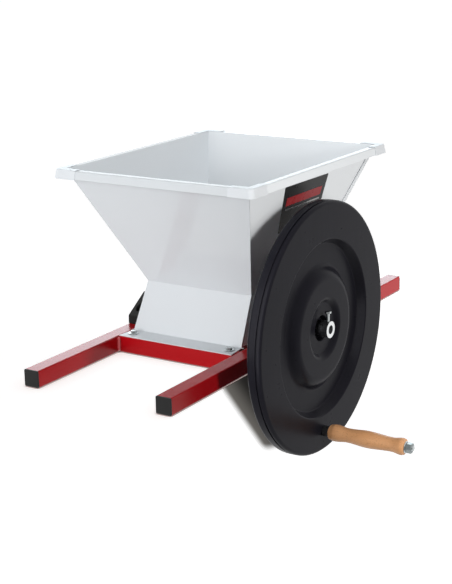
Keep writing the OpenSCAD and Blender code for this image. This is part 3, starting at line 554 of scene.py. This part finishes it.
# Fasteners: stacks of rings round a local Z axis, closed into solids. A size is the thread's, in mm
RING_POINTS = 48
HEX_SIDES = 6
PITCH_MM = {6: 1.0, 8: 1.25, 10: 1.5}
FLATS_MM = {6: 10, 8: 13, 10: 17}
HEAD_MM = {6: 4.0, 8: 5.3, 10: 6.6}
HANDLE_THREAD = 0.026
CHAMFER_SLOPE = math.tan(math.radians(30))
TO_PLUS_X = Matrix.Rotation(math.radians(90), 4, "Y")
TO_MINUS_X = Matrix.Rotation(math.radians(-90), 4, "Y")
# Shares of the width across flats
HEX_FACE = 0.48
SEAT_FACE = 0.47
SEAT_RISE = 0.03
# Threads: rings in a turn, shares of the pitch, and the share of a bolt's length that is threaded
THREAD_STEPS = 6
THREAD_DEPTH = 0.55
THREAD_EASE = 0.4
THREAD_SHARE = 0.8
# Washers: the rounding as a share of the height, and the other edges as shares of the rounding
WASHER_EASE = 0.3
WASHER_ROUND = (0.4, 0.3)
WASHER_FOOT = 0.4
WASHER_BORE = 0.6


def ring(radius_at, height_at):
    """One ring of points; radius and height are numbers, or functions of the angle."""
    points = []
    for i in range(RING_POINTS):
        angle = 2 * math.pi * i / RING_POINTS
        radius = radius_at(angle) if callable(radius_at) else radius_at
        height = height_at(angle) if callable(height_at) else height_at
        points.append((radius * math.cos(angle), radius * math.sin(angle), height))
    return points


def skin(mesh, rings, place, bored=False):
    """Joins rings into a solid: capped at both ends, or closed on itself round a bore."""
    loops = [[mesh.verts.new(place @ Vector(p)) for p in points] for points in rings]
    tube(mesh, loops + loops[:1] if bored else loops)
    if not bored:
        mesh.faces.new(list(reversed(loops[0])))
        mesh.faces.new(loops[-1])


def hex_radius(flats):
    sector = 2 * math.pi / HEX_SIDES
    return lambda angle: flats / 2 / math.cos((angle + sector / 2) % sector - sector / 2)


def hex_end(flats, height, down=False):
    """The chamfered end of a hexagon: its corners run down a cone from a round face."""
    face = HEX_FACE * flats
    radius = hex_radius(flats)
    sign = 1 if down else -1
    corners = ring(radius, lambda angle: height + sign * max(0, radius(angle) - face) * CHAMFER_SLOPE)
    rings = [corners, ring(face, height)]
    return rings[::-1] if down else rings


def thread_rings(radius, pitch, low, high):
    """A right-hand thread between two heights, as rings whose radius winds round with the height."""
    count = max(2, math.ceil((high - low) / pitch * THREAD_STEPS))
    depth = THREAD_DEPTH * pitch

    def wound(height):
        def radius_at(angle):
            turn = (height / pitch - angle / (2 * math.pi)) % 1
            return radius - depth * (1 - abs(2 * turn - 1))
        return radius_at

    heights = [low + (high - low) * i / count for i in range(count + 1)]
    return [ring(wound(h), h) for h in heights]


def bolt_rings(size, length, thread):
    """A hexagon bolt along -Z from its seat at 0, threaded over the given length from its tip."""
    radius = size / 2 * MM
    pitch = PITCH_MM[size] * MM
    flats = FLATS_MM[size] * MM
    ease = THREAD_EASE * pitch
    seat, rise = SEAT_FACE * flats, SEAT_RISE * flats
    rings = [ring(radius - pitch, -length)]
    rings += thread_rings(radius, pitch, -length + ease, -length + thread)
    rings += [ring(radius, -length + thread + ease), ring(radius, 0)]
    rings += [ring(seat, 0), ring(seat, rise), ring(hex_radius(flats), rise)]
    return rings + hex_end(flats, HEAD_MM[size] * MM)


def nut_rings(size, height):
    """A hexagon nut from 0 to height, chamfered on both faces and round its bore."""
    bore = size / 2 * MM
    ease = THREAD_EASE * PITCH_MM[size] * MM
    flats = FLATS_MM[size] * MM
    rings = hex_end(flats, 0, down=True) + hex_end(flats, height)
    rings += [ring(bore + ease, height), ring(bore, height - ease)]
    return rings + [ring(bore, ease), ring(bore + ease, 0)]


def washer_rings(outer, bore, height):
    """A plain washer from 0 to height: a rounded punched edge on top, a sharper one below."""
    ease = WASHER_EASE * height
    foot, lip = WASHER_FOOT * ease, WASHER_BORE * ease
    inward, down = (share * ease for share in WASHER_ROUND)
    return [
        ring(bore, 0), ring(outer - foot, 0), ring(outer, foot), ring(outer, height - ease),
        ring(outer - inward, height - down), ring(outer - ease, height),
        ring(bore + lip, height), ring(bore, height - lip),
    ]


def bolts(node, size, axis="Z", thread=None):
    """Detailed bolts for a node's bolts: upright ones, or ones whose heads face -X."""
    mesh = bmesh.new()
    head = HEAD_MM[size] * MM
    for low, high in solids(node):
        middle = (low + high) / 2
        if axis == "Z":
            seat = Vector((middle.x, middle.y, high.z - head))
            length = seat.z - low.z
            turn = Matrix.Identity(4)
        else:
            seat = Vector((low.x + head, middle.y, middle.z))
            length = high.x - seat.x
            turn = TO_MINUS_X
        rings = bolt_rings(size, length, thread or THREAD_SHARE * length)
        skin(mesh, rings, Matrix.Translation(seat) @ turn)
    piece = new_piece(node + ".threaded", mesh, SLOT_OF[node], BODY_OF[node])
    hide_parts(node)


def bored_pieces(node, size, kind, axis="X", material=None):
    """Detailed nuts or washers for a node's, along X or upright."""
    mesh = bmesh.new()
    for low, high in solids(node):
        middle = (low + high) / 2
        if axis == "Z":
            foot = Vector((middle.x, middle.y, low.z))
            height = high.z - low.z
            turn = Matrix.Identity(4)
        else:
            foot = Vector((low.x, middle.y, middle.z))
            height = high.x - low.x
            turn = TO_PLUS_X
        outer = (high.y - low.y) / 2
        rings = nut_rings(size, height) if kind == "nut" else washer_rings(outer, size / 2 * MM, height)
        skin(mesh, rings, Matrix.Translation(foot) @ turn, bored=True)
    piece = new_piece(node + ".detailed", mesh, SLOT_OF[node], BODY_OF[node], material)
    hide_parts(node)


bolts("hopper_bolts", size=6)
bolts("block_bolts", size=8)
bolts("hub_screws", size=6, axis="X")
bolts("hub_set_bolt", size=6)
bolts("handle_bolt", size=10, axis="X", thread=HANDLE_THREAD)
bored_pieces("hopper_washers", size=6, kind="washer", axis="Z")
bored_pieces("handle_back_washer", size=10, kind="washer")
bored_pieces("handle_base_nut", size=10, kind="nut")
bored_pieces("handle_base_washer", size=10, kind="washer")
bored_pieces("handle_end_washer", size=10, kind="washer")
bored_pieces("handle_end_nut", size=10, kind="nut", material=DULL_ZINC)


# Weld beads in the corners between the cross tubes and the long tubes. Dip and tip are shares of the
# radius, and the gaps are those left at a bead's foot and head
BEAD_R = 0.0034
BEAD_RIPPLE = 0.0022
BEAD_DIP = 0.12
BEAD_TIP = 0.06
BEAD_SHIFT = 0.4 * BEAD_R
BEAD_END = 0.0035
BEAD_GAPS = (0.002, 0.0015)
BEAD_STEPS = 48
BEAD_SIDES = 12


def weld_bead(mesh, corner, low, high):
    """An upright bead along a corner, rippled where each drop froze, rounded at its ends."""
    rows = []
    for i in range(BEAD_STEPS + 1):
        height = low + (high - low) * i / BEAD_STEPS
        from_end = min(height - low, high - height, BEAD_END) / BEAD_END
        swell = math.sqrt(max(0.0, 1 - (1 - from_end) ** 2))
        ripple = 1 - BEAD_DIP + BEAD_DIP * abs(math.sin(math.pi * height / BEAD_RIPPLE))
        radius = BEAD_R * max(BEAD_TIP, swell) * ripple
        angles = [2 * math.pi * k / BEAD_SIDES for k in range(BEAD_SIDES)]
        spots = [Vector((radius * math.cos(a), radius * math.sin(a), height)) for a in angles]
        rows.append([mesh.verts.new(corner + spot) for spot in spots])
    tube(mesh, rows)
    mesh.faces.new(list(reversed(rows[0])))
    mesh.faces.new(rows[-1])


def weld_beads():
    mesh = bmesh.new()
    for cross_tube in ("front_cross_tube", "rear_cross_tube"):
        low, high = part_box(cross_tube)
        foot, head = low.z + BEAD_GAPS[0], high.z - BEAD_GAPS[1]
        for x in (low.x, high.x):
            inward = -math.copysign(BEAD_SHIFT, x)
            for y, outward in ((low.y, -BEAD_SHIFT), (high.y, BEAD_SHIFT)):
                weld_bead(mesh, Vector((x + inward, y + outward, 0)), foot, head)
    # The beads' red is lighter than the tubes' paint: a painted highlight where a bead catches the light.
    bead = paint(
        "bead_red_with_painted_highlight", colour=(0.62, 0.09, 0.10), roughness=(0.2, 0.24), peel=0.00001, specular=0.8,
        coat=0.3)
    new_piece("weld_beads", mesh, "red_paint", "frame", bead)


weld_beads()


# Plain label on the hopper's right wall: a charcoal panel with a red band and a light line. Its corners
# are (y, height), front top, rear top, rear foot and front foot, and its strips run from a top to a foot
LABEL_CORNERS = [(-0.0994, 0.315), (0.0575, 0.3135), (0.0645, 0.225), (-0.0735, 0.225)]
LABEL_CORNER_R = 0.003
LABEL_LIFT = 0.00012
LABEL_T = 0.00018
BAND_HEIGHTS = (0.292, 0.276)
BAND_CORNER_R = 0.001
LINE_HEIGHTS = (0.2705, 0.2675)
LINE_CORNER_R = 0.0004
PRINT_MARGIN = 0.012
ARC_STEPS = 6
CHARCOAL = (0.008, 0.008, 0.008)
BAND_RED = (0.5, 0.012, 0.018)
LINE_PALE = (0.62, 0.62, 0.62)


def wall_point(y, z, lift):
    """The point on the right wall's outer face at a given y and height, lifted off it along its normal."""
    up = WALL_FACES.cross(Vector((0, 1, 0)))
    foot = WALL_AT + up * ((z - WALL_AT.z) / up.z)
    return Vector((foot.x, y, foot.z)) + WALL_FACES * lift


def rounded_outline(corners, radius):
    """A flat outline with each corner turned into a short curve."""
    corners = [Vector(c) for c in corners]
    points = []
    for i, corner in enumerate(corners):
        after = corners[(i + 1) % len(corners)]
        points += eased_corner(corners[i - 1], corner, after, radius, ARC_STEPS)
    return points


def label_edge(z, side):
    """The label's y at a height, on its front (0) or rear (1) edge, inside the print margin."""
    top = LABEL_CORNERS[side]
    foot = LABEL_CORNERS[3 - side]
    share = (z - top[1]) / (foot[1] - top[1])
    return top[0] + share * (foot[0] - top[0]) + (PRINT_MARGIN if side == 0 else -PRINT_MARGIN)


def strip_corners(top, foot):
    return [(label_edge(z, side), z) for z, side in ((top, 0), (top, 1), (foot, 1), (foot, 0))]


def ink(name, colour):
    return moulding(name, colour, roughness=(0.25, 0.35), grain=0.0006, depth=0.00001, specular=0.1)


def label_layer(name, corners, radius, lift, slot, material):
    mesh = bmesh.new()
    outline = rounded_outline(corners, radius)
    thin_plate(mesh, *([wall_point(y, z, at) for y, z in outline] for at in (lift, lift + LABEL_T)))
    new_piece(name, mesh, slot, "frame", material)


def label():
    on_panel = LABEL_LIFT + LABEL_T
    band, line = strip_corners(*BAND_HEIGHTS), strip_corners(*LINE_HEIGHTS)
    charcoal = ink("label_charcoal", CHARCOAL)
    red = ink("label_red", BAND_RED)
    pale = ink("label_pale", LINE_PALE)
    label_layer("label_panel", LABEL_CORNERS, LABEL_CORNER_R, LABEL_LIFT, "cap_plastic", charcoal)
    label_layer("label_band", band, BAND_CORNER_R, on_panel, "red_paint", red)
    label_layer("label_line", line, LINE_CORNER_R, on_panel, "white_plastic", pale)


label()


# Painted shadow lines: thin near-black strips along the edges of the laps that the rear sheet folds onto
# the side walls, where each lap's edge would shade the wall
LAP_HEIGHTS = (0.12, 0.3215)
SHADE_LINE_W = 0.0006
SHADE_LINE_T = 0.0002


def lap_gaps():
    laps = [
        v.co for v in NODES["hopper_rear_sheet"].data.vertices
        if LAP_HEIGHTS[0] < v.co.z < LAP_HEIGHTS[1] and (v.co - WALL_AT).dot(WALL_FACES) > SHADE_LINE_T]
    top, foot = max(v.z for v in laps), min(v.z for v in laps)
    top_y, foot_y = (min(v.y for v in laps if abs(v.z - z) < WELD) for z in (top, foot))
    outline = [(top_y, top), (foot_y, foot), (foot_y - SHADE_LINE_W, foot), (top_y - SHADE_LINE_W, top)]
    mesh = bmesh.new()
    for side in (1, -1):
        mirror = Vector((side, 1, 1))
        thin_plate(mesh, *([wall_point(y, z, lift) * mirror for y, z in outline] for lift in (0, SHADE_LINE_T)))
    # Painted shadow: the strip's near-black colour stands for the shade under each lap's edge.
    dark = moulding(
        "lap_painted_shadow", colour=(0.03,) * 3, roughness=(0.5, 0.6), grain=0.0006, depth=0.00001, specular=0.1)
    new_piece("lap_gaps", mesh, "cap_plastic", "frame", dark)


lap_gaps()


# Stage: a pale floor far below; clear sheets that hold the soft shadows under the tubes, between them
# and behind the flywheel; a pale table that lights the object from below; and a dark cloth in front that
# shiny pieces mirror
FLOOR_Z = -0.62
FLOOR_REACH = 30
FLOOR_COLOUR = (0.86, 0.86, 0.86, 1)
FLOOR_GLOW = 0.75
TABLE_EDGE_X = 0.152
TABLE_REACH = 2.5
FLAG_Y = -3.4
FLAG_SPAN = (-5, 9)
FLAG_HEIGHTS = (-4, 2.2)
FLAG_LEVEL = 0.3
CAMERA_ONLY = ("diffuse", "glossy", "transmission", "shadow")
# Shadows under and between the tubes: a tint, how far it reaches and how strong it is
REST_Z = -0.0008
CONTACT_Z = -0.0006
SHADOW_MARGIN = 0.15
SHADOW_SAMPLES = 16
# The rest shadow's pink tint is painted red light thrown back from the tubes onto the table.
REST_SHADOW = ((0.68, 0.34, 0.29), 0.045, 0.5)
CONTACT_SHADOW = ((0.12, 0.06, 0.05), 0.006, 1.0)
INNER_SHADOW = ((0.03, 0.005, 0.005), 0.3, 1.6)
# The flywheel's shadow, on an upright sheet: a point on its edge, the edge's slant, and its tints
EDGE_GAP = 0.0005
EDGE_X = TABLE_EDGE_X - EDGE_GAP
EDGE_TOP = 0.0004
SHADOW_FOOT = Vector((0, -0.256, -0.01))
SHADOW_SLANT = math.radians(40.5)
SHADOW_SOFT = 0.009
SHADOW_FADE = 0.05
SHADOW_EDGE_TINT = (0.13, 0.123, 0.113)
SHADOW_DEEP_TINT = (0.018, 0.017, 0.016)


def hide(made, rays):
    """Leaves an object out of the named kinds of rays."""
    for ray in rays:
        setattr(made, "visible_" + ray, False)


def plane(name, corners, material, hidden_from):
    mesh = bmesh.new()
    mesh.faces.new([mesh.verts.new(c) for c in corners])
    data = bpy.data.meshes.new(name)
    mesh.to_mesh(data)
    mesh.free()
    data.materials.append(material)
    made = bpy.data.objects.new(name, data)
    bpy.context.scene.collection.objects.link(made)
    hide(made, hidden_from)


def level_corners(x0, x1, y0, y1, z):
    return [(x0, y0, z), (x1, y0, z), (x1, y1, z), (x0, y1, z)]


def stage_material(name, add_shader):
    """A material whose surface is the shader that add_shader makes in its node tree."""
    material = bpy.data.materials.new(name)
    material.use_nodes = True
    tree = material.node_tree
    tree.nodes.remove(tree.nodes["Principled BSDF"])
    tree.links.new(add_shader(tree).outputs[0], tree.nodes["Material Output"].inputs["Surface"])
    return material


def painted_shadow_sheet(name, tint, reach, gain):
    """Clear, but with painted shadow: it darkens what lies behind it where something stands close to it."""
    def add_shader(tree):
        near = add_node(tree, "ShaderNodeAmbientOcclusion", {"Distance": reach}, samples=SHADOW_SAMPLES)
        amount = map_range(tree, near.outputs["AO"], (1, 0), (0, gain))
        return add_node(tree, "ShaderNodeBsdfTransparent", {
            "Color": mix_colours(tree, amount, (1, 1, 1), tint)})
    return stage_material(name, add_shader)


def wheel_shadow():
    """Clear, but dark behind the flywheel, past a soft slanting edge, and darker further in."""
    low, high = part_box("flywheel")
    middle = (low + high) / 2
    radius = (high.z - low.z) / 2
    inward = Vector((0, math.cos(SHADOW_SLANT), math.sin(SHADOW_SLANT)))
    edge = inward.dot(SHADOW_FOOT)

    def add_shader(tree):
        def measure(operation, other):
            return add_node(
                tree, "ShaderNodeVectorMath", {0: place, 1: other}, operation=operation).outputs["Value"]

        def ramp(value, span, result=(0, 1)):
            return map_range(tree, value, span, result, interpolation_type="SMOOTHSTEP")

        place = add_node(tree, "ShaderNodeTexCoord").outputs["Object"]
        depth = measure("DOT_PRODUCT", inward)
        off = measure("DISTANCE", (EDGE_X, middle.y, middle.z))
        amount = add_node(tree, "ShaderNodeMath", {
            0: ramp(depth, (edge - SHADOW_SOFT, edge + SHADOW_SOFT)),
            1: ramp(off, (radius - SHADOW_SOFT, radius + SHADOW_SOFT), (1, 0)),
        }, operation="MULTIPLY").outputs["Value"]
        deeper = ramp(depth, (edge, edge + SHADOW_FADE))
        dark = mix_colours(tree, deeper, SHADOW_EDGE_TINT, SHADOW_DEEP_TINT)
        return add_node(tree, "ShaderNodeBsdfTransparent", {
            "Color": mix_colours(tree, amount, (1, 1, 1), dark)})

    return stage_material("wheel_shadow", add_shader)


def pale_floor():
    """White where nothing shades it: a pale matt surface with a little glow for the camera."""
    def add_shader(tree):
        matt = add_node(tree, "ShaderNodeBsdfDiffuse", {"Color": FLOOR_COLOUR})
        seen = add_node(tree, "ShaderNodeLightPath").outputs["Is Camera Ray"]
        amount = add_node(tree, "ShaderNodeMath", {0: seen, 1: FLOOR_GLOW}, operation="MULTIPLY")
        glow = add_node(tree, "ShaderNodeEmission", {"Strength": amount.outputs["Value"]})
        return add_node(tree, "ShaderNodeAddShader", {0: matt.outputs["BSDF"], 1: glow.outputs["Emission"]})
    return stage_material("pale_floor", add_shader)


def dim_cloth():
    """A dark cloth that shiny surfaces facing the camera's side mirror."""
    return stage_material(
        "dim_cloth", lambda tree: add_node(tree, "ShaderNodeEmission", {"Strength": FLAG_LEVEL}))


def add_stage():
    pale = pale_floor()
    plane(
        "floor", level_corners(-FLOOR_REACH, FLOOR_REACH, -FLOOR_REACH, FLOOR_REACH, FLOOR_Z), pale,
        CAMERA_ONLY)
    low, high = CAD_BOX
    x0, y0, y1 = low.x - SHADOW_MARGIN, low.y - SHADOW_MARGIN, high.y + SHADOW_MARGIN
    near_floor = {"rest_shadow": (REST_Z, REST_SHADOW), "contact_shadow": (CONTACT_Z, CONTACT_SHADOW)}
    for name, (z, look) in near_floor.items():
        plane(name, level_corners(x0, TABLE_EDGE_X, y0, y1, z), painted_shadow_sheet(name, *look), CAMERA_ONLY)
    edge_foot = low.z - SHADOW_MARGIN
    edge_corners = [
        (EDGE_X, y0, EDGE_TOP), (EDGE_X, y1, EDGE_TOP), (EDGE_X, y1, edge_foot), (EDGE_X, y0, edge_foot)]
    plane("edge_shadow", edge_corners, wheel_shadow(), CAMERA_ONLY)
    inner_x, inner_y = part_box("right_leg")[0].x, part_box("rear_cross_tube")[0].y
    plane(
        "inner_shadow", level_corners(-inner_x, inner_x, -inner_y, inner_y, REST_Z),
        painted_shadow_sheet("inner_shadow", *INNER_SHADOW), CAMERA_ONLY)
    plane(
        "table_bounce", level_corners(-TABLE_REACH, TABLE_EDGE_X, -TABLE_REACH, TABLE_REACH, REST_Z), pale,
        ("camera", "glossy", "shadow"))
    (left, right), (foot, top) = FLAG_SPAN, FLAG_HEIGHTS
    flag_corners = [(left, FLAG_Y, foot), (right, FLAG_Y, foot), (right, FLAG_Y, top), (left, FLAG_Y, top)]
    plane("front_flag", flag_corners, dim_cloth(), ("camera", "diffuse", "shadow"))


add_stage()


# Light: a white room, dimmer low on the right and overhead; soft lamps that light the pieces and show in
# none of them; and panels that only shiny surfaces mirror. Some lamps are kept to some pieces, or off them
ROOM_LIGHT = 0.76
ROOM_DIM = 0.05
DIM_WAY = (1, 0, -1.3)
DIM_EDGE = 0.25
OVERHEAD_SPAN = (0.15, 0.9)
OVERHEAD_SHARE = 0.25
BACKDROP_LEVEL = 1.0
WHITE = (1, 1, 1, 1)
LIT_POINT = Vector((0, 0, 0.18))
WARM = (1.0, 0.975, 0.95)
COOL = (0.8, 0.93, 1.0)
LEFT_SHEET = "hopper_left_sheet.eased"
RIGHT_SHEET = "hopper_right_sheet.eased"
FRONT_SHEET = "hopper_front_sheet.eased"
REAR_SHEET = "hopper_rear_sheet.eased"
RIGHT_SIDE = [
    RIGHT_SHEET, REAR_SHEET, "front_right_rim_corner.eased", "rear_right_rim_corner.eased", "handle_grip"]
BACK_PANEL = {
    "azimuth": 122, "elevation": 14, "distance": 3.0, "size": (2.6, 1.0), "colour": COOL, "mirrored": True}
RIM_PANELS = {LEFT_SHEET: 0.045, FRONT_SHEET: 0.115, RIGHT_SHEET: 0.14}


def add_world():
    world = bpy.data.worlds.new("white_room")
    bpy.context.scene.world = world
    world.use_nodes = True
    tree = world.node_tree
    tree.nodes.clear()

    def maths(operation, first, second, **settings):
        return add_node(
            tree, "ShaderNodeMath", {0: first, 1: second}, operation=operation, **settings).outputs["Value"]

    way = add_node(tree, "ShaderNodeTexCoord").outputs["Generated"]
    side = add_node(tree, "ShaderNodeVectorMath", {0: way, 1: DIM_WAY}, operation="DOT_PRODUCT")
    level = map_range(tree, side.outputs["Value"], (-DIM_EDGE, DIM_EDGE), (ROOM_LIGHT, ROOM_DIM))
    height = add_node(tree, "ShaderNodeSeparateXYZ", {"Vector": way}).outputs["Z"]
    overhead = map_range(tree, height, OVERHEAD_SPAN, (1, OVERHEAD_SHARE))
    path = add_node(tree, "ShaderNodeLightPath").outputs
    seen = maths("ADD", path["Is Camera Ray"], path["Is Glossy Ray"])
    seen = maths("ADD", seen, path["Is Transmission Ray"], use_clamp=True)
    room, backdrop = (
        add_node(tree, "ShaderNodeBackground", {"Color": WHITE, "Strength": strength}).outputs["Background"]
        for strength in (maths("MULTIPLY", level, overhead), BACKDROP_LEVEL))
    blend = add_node(tree, "ShaderNodeMixShader", {0: seen, 1: room, 2: backdrop})
    add_node(tree, "ShaderNodeOutputWorld", {"Surface": blend.outputs["Shader"]})


def link(lamp, names, state):
    """Keeps a lamp off the named pieces, as a flag beside it would, or to them alone, as a snoot would."""
    pieces = bpy.data.collections.new(lamp.name + "_pieces")
    for name in names:
        pieces.objects.link(bpy.data.objects[name])
    for held in pieces.collection_objects:
        held.light_linking.link_state = state
    lamp.light_linking.receiver_collection = pieces


def add_lamp(
    name, azimuth, elevation, distance, size, level, colour=(1, 1, 1), mirrored=False, only=(), spared=()
):
    """A soft panel facing the object; level is what it adds to a white surface that faces it.

    A mirrored panel shows only in shiny surfaces. A lamp lights all pieces, only the named ones, or all
    but those spared.
    """
    data = bpy.data.lights.new(name, "AREA")
    data.shape = "RECTANGLE"
    data.size, data.size_y = size
    data.energy = level * math.pi ** 2 * distance ** 2
    data.color = colour
    lamp = bpy.data.objects.new(name, data)
    turn, lift = math.radians(azimuth), math.radians(elevation)
    way = Vector((math.cos(turn) * math.cos(lift), math.sin(turn) * math.cos(lift), math.sin(lift)))
    lamp.location = LIT_POINT + distance * way
    lamp.rotation_euler = way.to_track_quat("Z", "Y").to_euler()
    hide(lamp, ["camera", "diffuse" if mirrored else "glossy"])
    bpy.context.scene.collection.objects.link(lamp)
    if only:
        link(lamp, only, "INCLUDE")
    if spared:
        link(lamp, spared, "EXCLUDE")


def add_lamps():
    add_lamp("front_key", azimuth=-94, elevation=10, distance=3.0, size=(2.0, 1.4), level=0.55)
    add_lamp(
        "wheel_panel", azimuth=-84, elevation=8, distance=3.0, size=(4.6, 4.6), level=3.1, mirrored=True,
        only=["flywheel.turned"])
    add_lamp(
        "side_lamp", azimuth=-5, elevation=13, distance=2.6, size=(0.3, 0.3), level=0.34, colour=WARM,
        spared=[LEFT_SHEET, RIGHT_SHEET])
    add_lamp(
        "wall_lamp", azimuth=-15, elevation=5, distance=2.6, size=(0.6, 0.6), level=0.5, colour=WARM,
        only=[RIGHT_SHEET])
    add_lamp(
        "wall_fill", azimuth=-3, elevation=-4, distance=2.6, size=(1.4, 1.4), level=0.3, colour=WARM,
        only=RIGHT_SIDE)
    add_lamp(
        "leg_fill", azimuth=62, elevation=0, distance=3.0, size=(0.3, 0.3), level=0.9,
        only=["right_leg.eased"])
    add_lamp(
        "bowl_fill", azimuth=-8, elevation=50, distance=2.5, size=(2.0, 2.0), level=0.54,
        only=[LEFT_SHEET, REAR_SHEET])
    add_lamp("back_panel", level=0.27, spared=RIM_PANELS, **BACK_PANEL)
    for sheet, level in RIM_PANELS.items():
        add_lamp("panel_for_" + sheet, level=level, only=[sheet], **BACK_PANEL)
    add_lamp("back_fill", azimuth=95, elevation=6, distance=3.0, size=(2.4, 1.6), level=0.24)


add_camera()
add_world()
add_lamps()
bpy.context.scene.view_settings.view_transform = "Standard"
